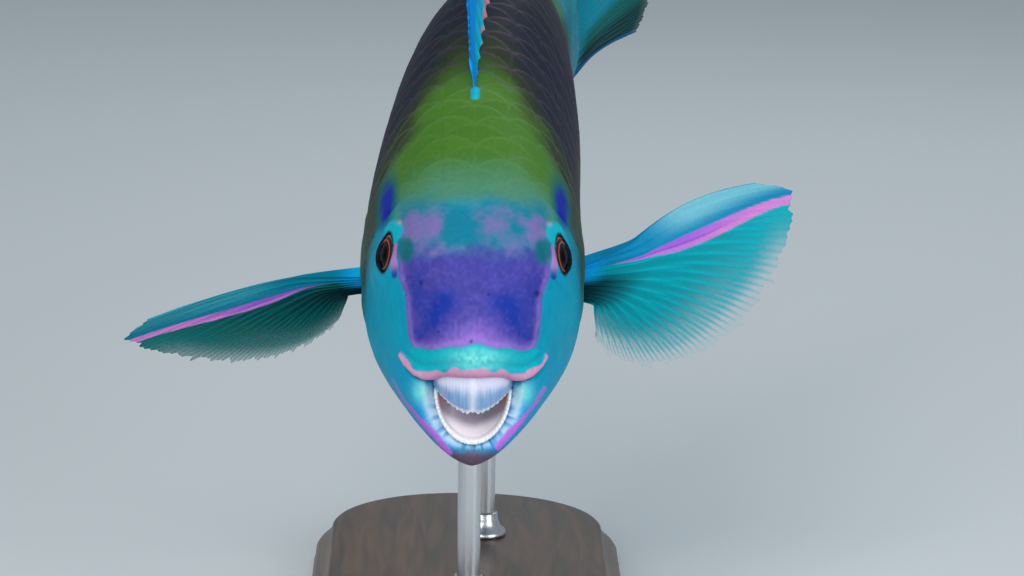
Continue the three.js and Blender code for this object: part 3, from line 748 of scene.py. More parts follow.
def paint_eyes(coat, m):
    """Beside each eye a teal spot and a pink stripe, above it a bright brow and a blue temple."""
    coat.add(TEAL_GREEN, 0.9 * fade(0.6, 1.25, oval(m.wide, m.climb, *TEAL_SPOT)) * m.face)
    temple_side = (m.wide - 21.5 + 0.12 * (m.climb - 45)) / (1.5 + 0.05 * (m.climb - 40))
    temple = np.hypot(temple_side, (m.climb - 45.6) / 5.6)
    head = m.back < 70
    coat.add(TEMPLE_TEAL, 0.8 * fade(0.9, 1.9, temple) * head * smooth(40, 43, m.climb))
    coat.add(TEMPLE_BLUE, fade(0.45, 1.25, temple + 0.25 * m.fine) * head)
    brow_x, brow_y = m.wide - 19.4, m.climb - 38.9
    brow = np.hypot((brow_x * 0.85 + brow_y * 0.25) / 1.9, (brow_y * 0.85 - brow_x * 0.3) / 2.9)
    coat.add(BROW, fade(0.8, 1.1, brow) * m.face)
    coat.add(PINK, blots(m.wide, m.climb, PINK_DOT) * m.face)
    d, share = polyline_distance(m.wide, m.climb, EYE_STRIPE)
    strip = Coat(EYE_PINK, m.side.shape)
    strip.add(ROYAL, smooth(0.6, 1, share))
    coat.add(strip.paint, 0.85 * fade(0.15 + 0.35 * share, 0.5 + 0.5 * share, d) * m.face)
    eye_side = (m.axial > 0) & (m.off_axis < EYE_RADIUS + 4)
    coat.add(LID_DARK, eye_side * fade(1.13, 1.27, m.opening))


def paint_jaw(coat, m):
    """Blue with a pale fringe round the mouth, a dark chin and a violet stripe on each side."""
    ring = oval(m.side, m.climb, *MOUTH_OVAL)
    around = np.arctan2(m.side, MOUTH_OVAL[1] - m.climb)
    spokes = noise(stack3(around * 17, 0.6 * ring, 0), 1.0, 61)
    coat.add(JAW_BLUE, 0.75 * m.front * fade(2.6, 4.4, m.climb) * fade(1.25, 1.7, ring))
    coat.add(MINT, 0.85 * hill(np.hypot(m.wide - 12.2, (m.climb - 0.9) * 0.8), 0, 2.2) * m.front)
    pale = m.front * hill(m.wide, 10.9 + 0.16 * m.climb, 1.1) * between(-8, -3, 1.5, 3.4, m.climb)
    coat.add(JAW_PALE, 0.85 * pale * (0.8 + 0.3 * m.streak))
    fringe = m.front * fade(1.04, 1.3, ring + 0.12 * spokes) * fade(0, 3, m.climb)
    coat.add(JAW_FRINGE, np.clip(fringe * (0.55 + 0.75 * spokes), 0, 0.95))
    coat.add(JAW_TEAL, 0.7 * m.front * fade(-13.4, -11.6, m.climb))
    coat.add(CHIN, 0.8 * m.front * fade(-14.6, -12.9, m.climb + 0.4 * m.fine))
    for line in JAW_STRIPES:
        d, share = polyline_distance(m.side, m.climb, line)
        half = 0.42 + 0.42 * smooth(0.3, 0.85, share) + 0.25 * m.fine
        coat.add(STRIPE, fade(half - 0.25, half + 0.25, d) * (m.up < 6) * fade(10, 22, m.back))


def paint_lip(coat, m):
    """The pink lip edge, rosier along its lower side, with painted shadow in the crease under its ends."""
    reach = between(2.4, 3.6, 9.8, 10.6, m.climb) * m.front * fade(17.0, 17.8, m.wide)
    thick = 0.95 - 0.1 * smooth(13, 17, m.wide) + 0.2 * np.sin(m.side * 1.1) + 0.35 * hill(m.side, 0, 6)
    off = np.abs(m.lip + 0.14 * np.sin(m.side * 1.7))
    coat.add(PINK, reach * fade(thick - 0.2, thick + 0.2, off))
    coat.add(LIP_ROSE, 0.6 * reach * hill(m.lip, -0.75, 0.35) * smooth(4, 8, m.wide))
    # Painted shadow in the crease below the lip edge's ends
    coat.add(LIP_SHADOW, 0.85 * reach * hill(m.lip, -1.65, 0.42) * smooth(8.5, 10.5, m.wide))


def skin_paint(m):
    coat = Coat(TURQUOISE, m.side.shape)
    for layer in (
        paint_cheeks, paint_body, paint_scales, paint_forehead, paint_snout, paint_eyes, paint_jaw, paint_lip,
    ):
        layer(coat, m)
    coat.add(FIN_CYAN, smooth(0.25, 0.6, m.knob))
    lining = LINING * (1 + 0.06 * m.fine[..., None])
    return np.clip(np.where(m.lining[..., None], lining, coat.paint), 0, 1)


def skin():
    values, s_rows = skin_rows()
    angle, s = np.meshgrid(-math.pi + FULL_TURN * np.arange(AROUND) / AROUND, s_rows)
    p = ring_points(values[:, None, :] + np.zeros((1, AROUND, 1)), angle)
    # The upper lip hangs over the beak in the middle
    p[..., 2] -= LIP_HANG * hill(p[..., 0], 0, 7.5) * between(-0.3, -0.1, 0.15, 1.2, s) * (np.cos(angle) > 0)
    m = Marks(p, s, angle, *scale_places(values, p))
    # Normals of the smooth form, pointing out
    down_rows = np.gradient(p, axis=0)
    round_rows = np.roll(p, -1, axis=1) - np.roll(p, 1, axis=1)
    normal = unit(np.cross(round_rows, down_rows))
    half_way = len(s_rows) // 2
    if np.median(np.sum(normal[half_way] * p[half_way], axis=-1)) < 0:
        normal = -normal
    points = place(p + normal * skin_relief(p, m)[..., None])
    paint = skin_paint(m)
    uv = np.stack([(s + 1) / len(STATIONS), angle / FULL_TURN + 0.5], -1).reshape(-1, 2)
    uv = np.concatenate([uv, [[0, 0.5], [1, 0.5]]])
    thing = tube_mesh(
        "skin", points, [points[0].mean(axis=0), points[-1].mean(axis=0)], skin_material(), uv,
        paint=with_ends(paint, paint[0].mean(axis=0), paint[-1].mean(axis=0)))
    return piece(thing, "skin", "head", "trunk", "tail_stalk")


# Materials

def material(name, roughness, **sockets):
    made = bpy.data.materials.new(name)
    made.use_nodes = True
    shader = made.node_tree.nodes["Principled BSDF"]
    shader.inputs["Roughness"].default_value = roughness
    for key, value in sockets.items():
        shader.inputs[key.replace("_", " ")].default_value = value
    return made, made.node_tree, shader


def node(tree, kind, **values):
    """A shader node with its sockets set, or its own properties where it has no such socket."""
    made = tree.nodes.new(kind)
    for key, value in values.items():
        socket = key.replace("_", " ")
        if socket in made.inputs:
            made.inputs[socket].default_value = value
        else:
            setattr(made, key, value)
    return made


def noise_node(tree, scale, detail=4.0, stretch=(1, 1, 1), **values):
    """Noise over the object, stretched along its axes."""
    coordinates = node(tree, "ShaderNodeTexCoord")
    mapping = node(tree, "ShaderNodeMapping", Scale=stretch)
    made = node(tree, "ShaderNodeTexNoise", Scale=scale, Detail=detail, **values)
    tree.links.new(coordinates.outputs["Object"], mapping.inputs["Vector"])
    tree.links.new(mapping.outputs["Vector"], made.inputs["Vector"])
    return made.outputs["Fac"]


def ramp_value(tree, source, low, high):
    made = node(tree, "ShaderNodeMapRange", To_Min=low, To_Max=high)
    tree.links.new(source, made.inputs["Value"])
    return made.outputs["Result"]


def bump(tree, shader, source, strength, distance):
    made = node(tree, "ShaderNodeBump", Strength=strength, Distance=distance)
    tree.links.new(source, made.inputs["Height"])
    tree.links.new(made.outputs["Normal"], shader.inputs["Normal"])


def painted(tree, shader, variation, scale):
    """Base colour from the painted points, made a little uneven."""
    paint = node(tree, "ShaderNodeAttribute", attribute_name="paint")
    factor = ramp_value(tree, noise_node(tree, scale), 1 - variation, 1 + variation)
    scaled = node(tree, "ShaderNodeVectorMath", operation="SCALE")
    tree.links.new(paint.outputs["Color"], scaled.inputs[0])
    tree.links.new(factor, scaled.inputs["Scale"])
    tree.links.new(scaled.outputs["Vector"], shader.inputs["Base Color"])


def skin_material():
    made, tree, shader = material(
        "wet_skin", 0.5, Coat_Weight=0.02, Coat_Roughness=0.25, Specular_IOR_Level=0.07)
    painted(tree, shader, 0.16, 900)
    bump(tree, shader, noise_node(tree, 1500, 3), 0.25, 0.0002)
    tree.links.new(ramp_value(tree, noise_node(tree, 350), 0.42, 0.6), shader.inputs["Roughness"])
    return made


def fin_material():
    made, tree, shader = material("fin_membrane", 0.5, Specular_IOR_Level=0.06)
    painted(tree, shader, 0.12, 1200)
    clear = node(tree, "ShaderNodeAttribute", attribute_name="solidness")
    tree.links.new(clear.outputs["Fac"], shader.inputs["Alpha"])
    bump(tree, shader, noise_node(tree, 1400, 3), 0.2, 0.0002)
    return made


def beak_material():
    made, tree, shader = material("beak_enamel", 0.3, Coat_Weight=0.4, Coat_Roughness=0.12)
    painted(tree, shader, 0.06, 1600)
    bump(tree, shader, noise_node(tree, 2600, 3), 0.3, 0.00015)
    return made


def eye_material():
    made, tree, shader = material("eye", 0.2, Coat_Weight=0.05, Coat_Roughness=0.03, Specular_IOR_Level=0.05)
    painted(tree, shader, 0.15, 2200)
    return made


def wood_material():
    made, tree, shader = material("stand_wood", 0.42, Coat_Weight=0.25, Coat_Roughness=0.2)
    grain = noise_node(tree, 6, 8, (38, 4, 38), Distortion=1.2)
    ramp = node(tree, "ShaderNodeValToRGB")
    for element, place_on_ramp, tone in zip(ramp.color_ramp.elements, (0.3, 0.72), (WOOD_DARK, WOOD_LIGHT)):
        element.position = place_on_ramp
        element.color = (*tone, 1)
    tree.links.new(grain, ramp.inputs["Fac"])
    tree.links.new(ramp.outputs["Color"], shader.inputs["Base Color"])
    bump(tree, shader, grain, 0.2, 0.0003)
    return made


def steel_material():
    made, tree, shader = material("stand_steel", 0.3, Metallic=1.0, Base_Color=(*STEEL_GREY, 1))
    grain = noise_node(tree, 1, 2, (300, 300, 3000))
    tree.links.new(ramp_value(tree, grain, 0.22, 0.42), shader.inputs["Roughness"])
    return made


# Fins: ray is the share of the way from the first ray to the last, and out from the root to the outer edge

def triangle(x):
    """1 at whole numbers and 0 half way between them."""
    return np.abs((x % 1) - 0.5) * 2


def fin_mesh(name, fin, middle, half, paint, solidness, notch):
    """A thin sheet with raised, branching rays and a frayed outer edge."""
    rays = fin["rays"]
    columns, wide = (rays - 1) * fin["columns"] + 1, fin["rows"] + 1
    ray = np.linspace(0, 1, columns)[:, None]
    out = np.linspace(0, 1, wide)[None, :]
    step = ray * (rays - 1)
    on_ray, fine, finest = triangle(step), triangle(step * 2 + 0.5), triangle(step * 4)
    comb = noise(stack3(step * 5, 0, 0), 1.0, 83)
    branch = mix(fine, finest, smooth(0.62, 0.85, out)) ** 2
    crest = mix(on_ray**3, branch, smooth(0.35, 0.6, out))
    shred = 1 - notch(ray) * (0.6 - 0.4 * on_ray + 0.4 * comb) - 0.008 * (1 - finest)
    ray, reach = np.broadcast_arrays(ray, out * mix(1, shred, smooth(0.55, 1, out)))
    placed = place(middle(ray, reach))
    normal = unit(np.cross(np.gradient(placed, axis=0), np.gradient(placed, axis=1)))
    thick = (half(ray, reach) * mix(0.42, 1.0, crest) * MM)[..., None] * normal
    points = np.concatenate([(placed + thick).reshape(-1, 3), (placed - thick).reshape(-1, 3)])
    size = columns * wide
    front = grid_faces(columns, wide, False)

    def rim(one, two):
        """Quads across the sheet's thickness, along its edge from the points one to the points two."""
        return np.stack([one, two, two + size, one + size], -1)

    i, k = np.arange(columns - 1) * wide, np.arange(wide - 1)
    last = (columns - 1) * wide
    quads = np.concatenate([
        front, front[:, ::-1] + size, rim(i + wide, i), rim(i + wide - 1, i + 2 * wide - 1), rim(k, k + 1),
        rim(last + k + 1, last + k)])
    colours = paint(ray, reach, crest).reshape(-1, 3)
    solid = solidness(ray, reach, crest).ravel()
    uv = np.stack([ray, np.broadcast_to(out, ray.shape)], -1).reshape(-1, 2) * [0.49, 1]
    thing = mesh_object(
        f"{name}_rays", points, quads, FIN_MATERIAL, uv=np.concatenate([uv, uv + [0.51, 0]]),
        paint=np.concatenate([colours] * 2), solidness=np.concatenate([solid] * 2))
    return piece(thing, "fin", name)


def median_middle(fin, line, height, lean):
    """The middle sheet of a fin on the back or the belly."""
    def middle(ray, out):
        base = mix(fin["start"], fin["end"], ray)
        long = (height(ray) + fin["sunk"]) * out
        stand_off = np.cos(lean(ray)) * long - fin["sunk"]
        side = -fin["tilt"] * stand_off
        return stack3(side, base + np.sin(lean(ray)) * long, line(base) + fin["sign"] * stand_off)
    return middle


def dorsal_height(ray):
    height = mix(11, 21, smooth(0, 1, ray * 6)) + 3 * smooth(0, 1, (ray - 0.5) * 3)
    return height - 8 * smooth(0, 1, (ray - 0.86) * 7)


def dorsal_lean(ray):
    return mix(0.75, 0.5, smooth(0, 1, ray * 4)) + 0.35 * smooth(0, 1, (ray - 0.8) * 5)


def anal_height(ray):
    return mix(9, 20, smooth(0, 1, ray * 4)) - 6 * smooth(0, 1, (ray - 0.8) * 5)


def anal_lean(ray):
    return mix(0.7, 0.55, ray) + 0.3 * smooth(0, 1, (ray - 0.8) * 5)


def pectoral_middle(sign):
    pose = PECTORAL_POSE[sign]

    def middle(ray, out):
        long = mix(pose["short"], pose["long"], (1 - ray) ** pose["fall"])
        long = (long - PECTORAL["nick"] * fade(0, 1, ray * 9 + 0.15)) * out
        angle = mix(pose["lead"], pose["trail"], ray**1.15)
        sweep = mix(pose["sweep_lead"], pose["sweep_trail"], ray)
        outward = np.cos(angle) * np.cos(sweep) * long
        upward = np.sin(angle) * np.cos(sweep) * long + pose["cup"] * np.sin(math.pi * out) * (1 - ray)
        away = np.sin(sweep) * long - pose["cup"] * smooth(0, 1, out) * ray * 2
        side, back, up = [mix(a, b, ray) for a, b in zip(PECTORAL["root"], PECTORAL["foot"])]
        lift = PECTORAL["lobe"] * smooth(0, 1, out * 4)
        return stack3(
            sign * (side + outward + lift),
            back + away * math.cos(PECTORAL_DOWN) + upward * math.sin(PECTORAL_DOWN),
            up + upward * math.cos(PECTORAL_DOWN) - away * math.sin(PECTORAL_DOWN),
        )
    return middle


def caudal_middle(ray, out):
    away = 1 - 2 * ray
    angle = CAUDAL["spread"] * away + CAUDAL["curl"] * away**3 * out
    long = (CAUDAL["middle"] - CAUDAL["corner"] * np.abs(away) ** 5) * out
    up = CAUDAL["centre"] + (CAUDAL["foot"] + (1 - out) ** 4) * away + np.sin(angle) * long
    return stack3(0, CAUDAL["back"] - CAUDAL["sunk"] + np.cos(angle) * long, up)


def pelvic_middle(sign):
    def middle(ray, out):
        base = mix(PELVIC["start"], PELVIC["end"], ray)
        long = (mix(PELVIC["long"], PELVIC["short"], ray**1.4) + 4) * out
        angle = mix(0.52, 0.22, ray)
        side = PELVIC["side"] + PELVIC["spread"] * (1 - ray) * smooth(0, 1, out) + 1.5 * (1 - ray)
        up = belly_line(base) + PELVIC["sunk"] - np.sin(angle) * long
        return stack3(sign * side, base + np.cos(angle) * long, up)
    return middle


def median_paint(ray, out, crest):
    """Salmon at the root, then cyan and blue, on the dorsal and the anal fin."""
    wave = 0.012 * np.sin(ray * 60)
    later = smooth(0.05, 0.55, ray)
    coat = Coat(FIN_SALMON, ray.shape)
    coat.add(FIN_CYAN, smooth(0, 0.05, out + wave - mix(0.15, 0.36, later)))
    coat.add(FIN_BLUE, smooth(0, 0.06, out + 0.5 * wave - mix(0.42, 0.5, later)))
    coat.add(FIN_TEAL, 0.6 * fade(0.14, 0.2, out))
    coat.add(FIN_BLUE, fade(0.05, 0.09, ray))
    return coat.paint


def caudal_paint(ray, out, crest):
    edge = 2 * np.abs(ray - 0.5)
    coat = Coat(CAUDAL_CYAN, ray.shape)
    coat.add(CAUDAL_GREEN, smooth(0.3, 0.62, edge + 0.25 * out) * smooth(0.05, 0.3, out))
    dark = smooth(0.6, 0.82, edge + 0.1 * out) * (1 - 0.25 * crest) * smooth(0.02, 0.2, out)
    coat.add(FIN_DEEP, 0.92 * dark)
    coat.add(FIN_TEAL, 0.3 * crest * smooth(0.2, 0.5, out))
    coat.add(CAUDAL_EDGE, smooth(0.955, 0.98, edge))
    return coat.paint


def pectoral_paint(sign):
    """A teal fan with a violet and pink stripe behind a paler leading edge. The right fin is in shade."""
    dark = float(sign < 0)

    def paint_fin(ray, out, crest):
        coat = Coat(mix(*PECTORAL_WEB, dark), ray.shape)
        coat.add(FIN_DEEP, mix(0.35, 0.75, dark) * (1 - crest) * fade(0.5, 1.0, out))
        coat.add(FIN_DEEP, 0.95 * fade(0.1, mix(0.34, 0.62, dark), out) * smooth(0.24, 0.42, ray))
        coat.add(PECTORAL_TIP, 0.4 * smooth(0.6, 1.0, out) * smooth(0.3, 0.6, ray) * (1 - 0.7 * dark))
        middle = mix(0.195, 0.1, smooth(0.35, 1, out))
        half = 0.03 * smooth(0.1, 0.45, out) * (1 - 0.85 * smooth(0.4, 1, out)) + 0.006
        off = (ray - middle) / half
        lead = fade(-1.1, -0.8, off)
        coat.add(mix(*PECTORAL_LEAD, dark), lead)
        pale = smooth(0.25, 0.5, out) * fade(0.35, 0.8, ray / np.maximum(middle, 0.02))
        coat.add(mix(*PECTORAL_PALE, dark), lead * pale)
        stripe = fade(0.85, 1.1, np.abs(off)) * smooth(0.14, 0.2, out)
        band = Coat(FIN_VIOLET, ray.shape)
        band.add(FIN_PINK, smooth(0.4, 0.9, out) + 0.5 * (off > 0.15))
        coat.add(band.paint, stripe)
        coat.add(FIN_INDIGO, 0.5 * stripe * hill(off, 0.1, 0.12) * fade(0.5, 0.8, out))
        coat.add(FIN_ROOT, 0.95 * fade(0.08, 0.15, out) * fade(0.3, 0.5, ray))
        return coat.paint
    return paint_fin


def pelvic_paint(ray, out, crest):
    coat = Coat(FIN_SALMON, ray.shape)
    coat.add(FIN_BLUE, fade(0.1, 0.2, ray))
    coat.add(FIN_TEAL, 0.7 * smooth(0.5, 1, ray) + 0.2 * (1 - crest))
    return coat.paint


def membrane(low, high):
    """How solid a fin is: its web lets through a low share near the root and a high one near the edge."""
    def solidness(ray, out, crest):
        web = 1 - crest
        return np.clip(1 - web * mix(low, high, smooth(0.3, 1, out)) - 0.35 * smooth(0.86, 1.0, out), 0.12, 1)
    return solidness


def frayed(fray):
    """The pectoral fin's sheet: whole near its leading edge, thin and combed out along its trailing edge."""
    def solidness(ray, out, crest):
        thin = fray * smooth(0.15, 0.5, ray) * smooth(0.45, 0.95, out)
        thin = thin + 0.6 * fray * smooth(0.6, 1.0, ray) * smooth(0.15, 0.5, out)
        tip = (0.3 + 0.5 * fray) * smooth(0.8, 1.0, out) * smooth(0.1, 0.25, ray)
        web = 1 - crest
        return np.clip(1 - 0.12 * web * smooth(0.3, 0.8, out) - thin * (0.4 + 0.6 * web) - tip, 0.04, 1)
    return solidness


def taper(root, pace):
    """Half the fin's thickness, from its root down to its edge."""
    return lambda ray, out: mix(root, EDGE_HALF, smooth(0, 1, out * pace))


def pectoral_half(ray, out):
    return mix(PECTORAL["thick"] * (1 - 0.5 * ray), PECTORAL["edge"], smooth(0, 1, out * 3.4))


def fins():
    dorsal = median_middle(DORSAL, back_line, dorsal_height, dorsal_lean)
    anal = median_middle(ANAL, belly_line, anal_height, anal_lean)
    web = membrane(0.15, 0.35)
    fin_mesh("dorsal_fin", DORSAL, dorsal, taper(DORSAL["root"], 1.6), median_paint, web,
             lambda ray: np.where(ray < 0.45, 0.08, 0.04))
    fin_mesh("anal_fin", ANAL, anal, taper(ANAL["root"], 1.6), median_paint, web, lambda ray: 0.05)
    fin_mesh("caudal_fin", CAUDAL, caudal_middle, taper(CAUDAL["root"], 2.2), caudal_paint, membrane(0, 0.1),
             lambda ray: 0.03)
    for sign, side in ((1, "left"), (-1, "right")):
        fin_mesh(f"pectoral_fin_{side}", PECTORAL, pectoral_middle(sign), pectoral_half, pectoral_paint(sign),
                 frayed(PECTORAL_POSE[sign]["fray"]), lambda ray: 0.02 + 0.1 * ray)
        fin_mesh(f"pelvic_fin_{side}", PELVIC, pelvic_middle(sign), taper(PELVIC["root"], 2.5), pelvic_paint,
                 membrane(0.1, 0.4), lambda ray: 0.05)


# Beak: two plates of fused teeth, and the mouth's lining behind them

def plate_mesh(name, rows, paint, *nodes):
    points = place(rows)
    ends = [points[0].mean(axis=0), points[-1].mean(axis=0)]
    thing = tube_mesh(name, points, ends, BEAK_MATERIAL, paint=with_ends(paint, paint[0, 0], paint[-1, 0]))
    return piece(thing, "beak", *nodes)


def beak_grid():
    """Shares across a plate and round its section, its level up to the cutting edge, and its inner face."""
    t = np.linspace(-1, 1, BEAK_STEPS + 1)[:, None]
    loop = np.linspace(0, 1, BEAK_LEVELS, endpoint=False)[None, :]
    level = np.clip(np.minimum(loop, 1 - loop) * 2 / 0.94, 0, 1)
    return t, loop, level, smooth(0.42, 0.58, loop)


def upper_edge(side):
    """Height of the upper beak's cutting edge."""
    return UPPER_BEAK["tip"] + UPPER_BEAK["rise"] * np.abs(side / UPPER_BEAK["side"]) ** UPPER_BEAK["power"]


def upper_beak():
    b = UPPER_BEAK
    t, loop, level, inset = beak_grid()
    turn = t * math.pi / 2
    side = b["side"] * np.sin(turn)
    rim = STATIONS[0]
    ceiling = rim[MID] + (rim[UP] - 3.5 * GAP) * np.sqrt(1 - (side / rim[SIDE]) ** 2)
    teeth = np.cos(t * math.pi * 23) + 0.5 * np.cos(t * math.pi * 37)
    edge = upper_edge(side) + b["notch"] * hill(t * 14, 0, 1)
    down = level * (ceiling - edge + 0.6 * b["scallop"] * teeth * level**3)
    size = 1 - inset * b["thick"] / b["reach"]
    groove = 0.12 * np.cos(t * math.pi * 34) * (inset < 0.5) + 0.25 * hill(t * 22, 0, 1)
    bulge = b["bulge"] * np.sin(level * 2.2) * mix(1, 0.2, inset) - groove * np.sin(level * math.pi / 2)
    back = b["front"] + b["reach"] - (b["reach"] * size + bulge) * np.cos(turn) + down * 0.1
    rows = stack3(side * size, back, ceiling - down)
    streak = 0.5 + 0.5 * noise(stack3(rows[..., 0] * 2.2, rows[..., 2] * 0.35, 0), 1.0, 41)
    coat = Coat(ENAMEL_GREY, streak.shape)
    coat.add(BEAK_BLUE, 0.95 * smooth(0.3, 0.66, level + 0.06 * streak) * (0.74 + 0.26 * streak))
    coat.add(ENAMEL, smooth(0.86, 0.95, level + 0.02 * teeth + 0.03 * streak))
    coat.add(ENAMEL, 0.65 * hill(t * 18, 0, 1))
    coat.add(LINING, smooth(0.5, 0.6, loop))
    plate_mesh("beak_upper_plate", rows, coat.paint, "beak_upper")


def lower_beak():
    b = LOWER_BEAK
    t, loop, level, inset = beak_grid()
    turn = t * math.pi / 2
    teeth = 0.4 * np.cos(t * math.pi * 31) + 0.3 * np.cos(t * math.pi * 47)
    size = 1 - (inset * mix(b["thick"], 0.9, level) + 0.1 * (1 - level) * teeth) / b["side"]
    deep = (1 - level) * b["long"] - b["scallop"] * teeth * level**4
    rows = stack3(b["side"] * size * np.sin(turn), b["front"] - b["bow"] * np.cos(turn) * size + deep,
                  b["top"] - b["drop"] * size * np.cos(turn))
    streak = 0.5 + 0.5 * noise(stack3(turn * 16, level * 1.2, 0), 1.0, 47)
    coat = Coat(BEAK_BLUE, streak.shape)
    coat.add(ENAMEL, smooth(0.55, 0.85, level + 0.35 * streak))
    coat.add(BOWL, smooth(0.5, 0.55, loop) * fade(0.9, 1, level))
    plate_mesh("beak_lower_plate", rows, coat.paint, "beak_lower")


def mouth_lining():
    """A pale bowl behind the lower beak, as a thin closed dish, in the upper beak's shadow at its top."""
    b = LOWER_BEAK
    turn = np.linspace(0, FULL_TURN, 160, endpoint=False)[None, :]
    out = np.concatenate([np.linspace(0.02, 1, 36), np.linspace(1, 0.02, 36)])[:, None]
    rear = np.repeat([0, 1], 36)[:, None]
    below = np.cos(turn) > 0
    side = (b["side"] - BOWL_IN) * out * np.sin(turn)
    up = b["top"] - 1.2 - out * np.cos(turn) * np.where(below, b["drop"] - 2.1, BOWL_HIGH)
    hollow = BOWL_DEEP * (1 - out**2) ** 0.8 + BOWL_THICK * rear
    back = b["front"] + BOWL_IN - b["bow"] * np.maximum(np.cos(turn), 0) * out + hollow
    rows = stack3(side, back, up)
    coat = Coat(BOWL, side.shape)
    coat.add(BOWL_LILAC, 0.35 + 0.3 * clouds(rows, 4, 71))
    edge = upper_edge(side) * math.cos(CAMERA_DOWN) + UPPER_BEAK["front"] * math.sin(CAMERA_DOWN)
    coat.add(BOWL_SHADOW, 0.75 * smooth(-3.8, -1.2, face_climb(rows) - edge))
    coat.add(BOWL_CORNER, 0.6 * hill(np.hypot(np.abs(side) - 7.4, (up + 5.0) * 0.7), 0, 1.9))
    plate_mesh("mouth_lining", rows, coat.paint)


# Eyes

def eye(sign, name, eye_shader):
    """A ball with a flattened front that carries the iris, and the lens standing out of it."""
    mirror = np.array([sign, 1, 1])
    axis = unit(mirror * np.array(EYE_AXIS))
    aside = unit(np.cross(axis, [0, 0, 1]))
    over = np.cross(aside, axis)
    tilt = np.linspace(0, math.pi, BALL_RINGS)[:, None, None]
    turn = np.linspace(0, FULL_TURN, BALL_AROUND, endpoint=False)[None, :, None]
    direction = np.cos(tilt) * axis + np.sin(tilt) * (np.cos(turn) * aside + np.sin(turn) * over)
    rows = mirror * np.array(EYE_CENTRE) + BALL_RADIUS * direction
    tilt, turn = np.broadcast_arrays(tilt[..., 0], turn[..., 0])
    flat = BALL_RADIUS * np.sin(np.minimum(tilt, math.pi / 2))
    sink = np.where(tilt < 1.2, 0.8 * fade(1.5, 5.2, flat) - 0.25 * fade(1.4, 2.6, flat), 0)
    points = place(rows - sink[..., None] * axis)
    spokes = noise(stack3(np.cos(turn) * 9, np.sin(turn) * 9, flat * 0.5), 1.0, 53)
    coat = Coat(IRIS, flat.shape)
    coat.add(IRIS_DARK, 0.5 + 0.5 * spokes)
    coat.add(IRIS_RING, 0.8 * hill(flat, 3.6, 0.16))
    coat.add(PUPIL, fade(3.2, 3.45, flat))
    coat.add(IRIS_EDGE, 0.7 * hill(flat, 4.7, 0.18))
    coat.add(LID_DARK, smooth(4.95, 5.3, flat))
    paint = coat.paint
    thing = tube_mesh(f"eye_{name}_ball", points[1:-1], [points[0, -1], points[-1, -1]], eye_shader,
                      paint=with_ends(paint[1:-1], paint[0, -1], paint[-1, -1]))
    piece(thing, "eye", f"eye_{name}")


# Stand

def base_rows():
    """Rings of the base's edge: four quarter turns round the corners' centres."""
    quarter = np.linspace(0, math.pi / 2, CORNER_STEPS + 1)
    angle = np.concatenate([quarter + start * math.pi / 2 for start in (-1, 0, 1, 2)])
    corner = np.repeat([(1, -1), (1, 1), (-1, 1), (-1, -1)], CORNER_STEPS + 1, axis=0)
    centre = corner * (np.array([BASE_WIDE, BASE_LONG]) / 2 - BASE_CORNER)
    inset, height = np.array(BASE_EDGE).T[..., None]
    radius = BASE_CORNER - inset
    return MM * stack3(centre[:, 0] + radius * np.cos(angle), centre[:, 1] + radius * np.sin(angle), height)


def stand():
    """A wooden base with a moulded edge, and steel rods with small collars."""
    ends = [(0, 0, 0), (0, 0, BASE_HIGH * MM)]
    base = tube_mesh("stand_base_wood", base_rows(), ends, wood_material())
    base.modifiers.new("edges", "EDGE_SPLIT").split_angle = math.radians(40)
    piece(base, "stand_wood", "stand_base")
    steel = steel_material()
    for name, back in ROD_BACKS.items():
        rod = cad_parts[f"stand_rod_{name}"]
        rod.data.materials.clear()
        rod.data.materials.append(steel)
        foot = place(np.array([0.0, back, float(belly_line(back))]))
        collar(name, foot[0], foot[1], steel)


def collar(name, x, y, steel):
    turn = np.linspace(0, FULL_TURN, COLLAR_AROUND, endpoint=False)
    radius, height = np.array(COLLAR).T[..., None] * MM
    rows = stack3(x + radius * np.cos(turn), y + radius * np.sin(turn), BASE_HIGH * MM + height)
    j = np.arange(COLLAR_AROUND)
    k = (j + 1) % COLLAR_AROUND
    last = (len(COLLAR) - 1) * COLLAR_AROUND
    inner = np.stack([last + j, last + k, k, j], -1)
    quads = np.concatenate([grid_faces(len(COLLAR), COLLAR_AROUND, True), inner])
    piece(mesh_object(f"stand_collar_{name}", rows.reshape(-1, 3), quads, steel), "stand_steel")


# Stage: floor, light and camera

def stage():
    bpy.context.scene.view_settings.view_transform = "Standard"
    floor_shader = material("floor", 0.75, Base_Color=(*FLOOR_GREY, 1))[0]
    bpy.ops.mesh.primitive_plane_add(size=FLOOR_SIZE, location=(0, 0, -FLOOR_DROP))
    floor = bpy.context.object
    floor.name = "floor"
    floor.data.materials.append(floor_shader)
    world = bpy.data.worlds.new("studio")
    bpy.context.scene.world = world
    world.use_nodes = True
    background = world.node_tree.nodes["Background"]
    background.inputs["Color"].default_value = (*SKY_GREY, 1)
    background.inputs["Strength"].default_value = WORLD_STRENGTH
    for lamp in LAMPS:
        add_lamp(*lamp)


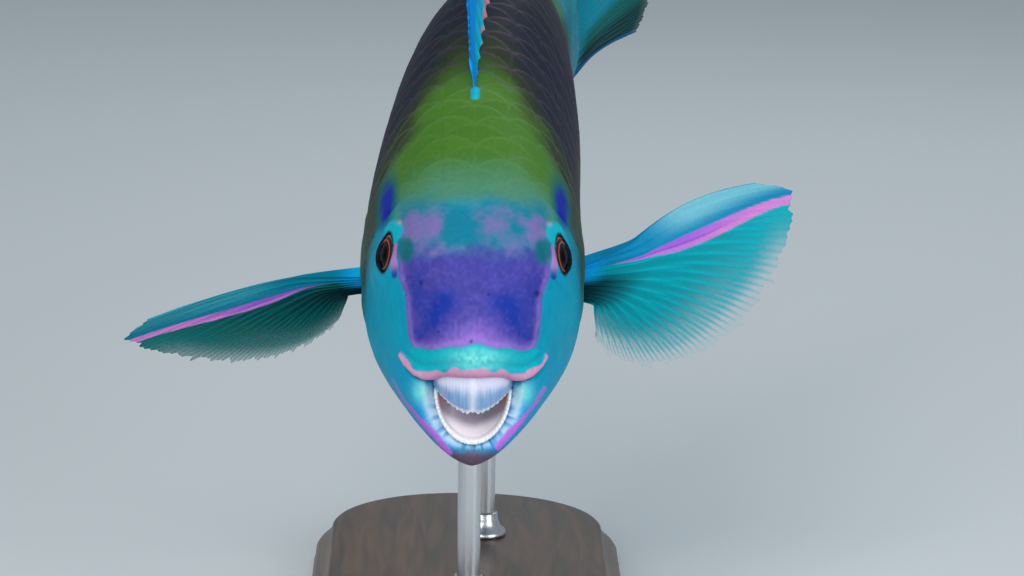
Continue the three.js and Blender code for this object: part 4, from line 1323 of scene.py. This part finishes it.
def add_lamp(name, spot, aim, size, power, tint):
    light = bpy.data.lights.new(name, "AREA")
    light.shape = "RECTANGLE"
    light.size, light.size_y = size
    light.energy = power
    light.color = tint
    thing = bpy.data.objects.new(name, light)
    bpy.context.scene.collection.objects.link(thing)
    thing.location = spot
    direction = unit(np.array(aim) - np.array(spot))
    thing.rotation_euler = (math.acos(-direction[2]), 0, math.atan2(direction[0], -direction[1]) + math.pi)


def camera():
    down, yaw, roll = CAMERA_DOWN, CAMERA_YAW, CAMERA_ROLL
    forward = np.array([math.sin(yaw) * math.cos(down), math.cos(yaw) * math.cos(down), -math.sin(down)])
    right = unit(np.cross(forward, [0, 0, 1]))
    upward = np.cross(right, forward)
    # A small roll about the chin, which stays where it is in the picture
    shift = (np.array([PICTURE_WIDE, PICTURE_HIGH]) / 2 - np.array(ROLL_PIVOT)) / FOCAL_PIXELS
    turn = np.array([[math.cos(roll), -math.sin(roll)], [math.sin(roll), math.cos(roll)]])
    aside, rise = (shift - turn @ shift) * np.array([1, -1])
    forward = unit(forward + aside * right + rise * upward)
    right = unit(np.cross(forward, upward))
    upward = np.cross(right, forward)
    right, upward = (
        math.cos(roll) * right + math.sin(roll) * upward,
        math.cos(roll) * upward - math.sin(roll) * right,
    )
    level, lift = math.cos(PITCH), math.sin(PITCH)
    pitch = np.array([[1, 0, 0], [0, level, -lift], [0, lift, level]])
    spot = pitch @ np.array(CAMERA_SPOT) + np.array([0, SNOUT_Y, SNOUT_Z])
    data = bpy.data.cameras.new("camera")
    data.sensor_width = SENSOR
    data.lens = FOCAL_PIXELS / PICTURE_WIDE * SENSOR
    data.clip_start, data.clip_end = CLIP_NEAR, CLIP_FAR
    thing = bpy.data.objects.new("camera", data)
    bpy.context.scene.collection.objects.link(thing)
    matrix = np.eye(4)
    matrix[:3, :3] = np.stack([pitch @ right, pitch @ upward, -(pitch @ forward)], -1)
    matrix[:3, 3] = spot * MM
    thing.matrix_world = Matrix(matrix.tolist())
    bpy.context.scene.camera = thing


camera()
stage()
FIN_MATERIAL = fin_material()
BEAK_MATERIAL = beak_material()
skin()
fins()
upper_beak()
lower_beak()
mouth_lining()
EYE_MATERIAL = eye_material()
eye(1, "left", EYE_MATERIAL)
eye(-1, "right", EYE_MATERIAL)
stand()
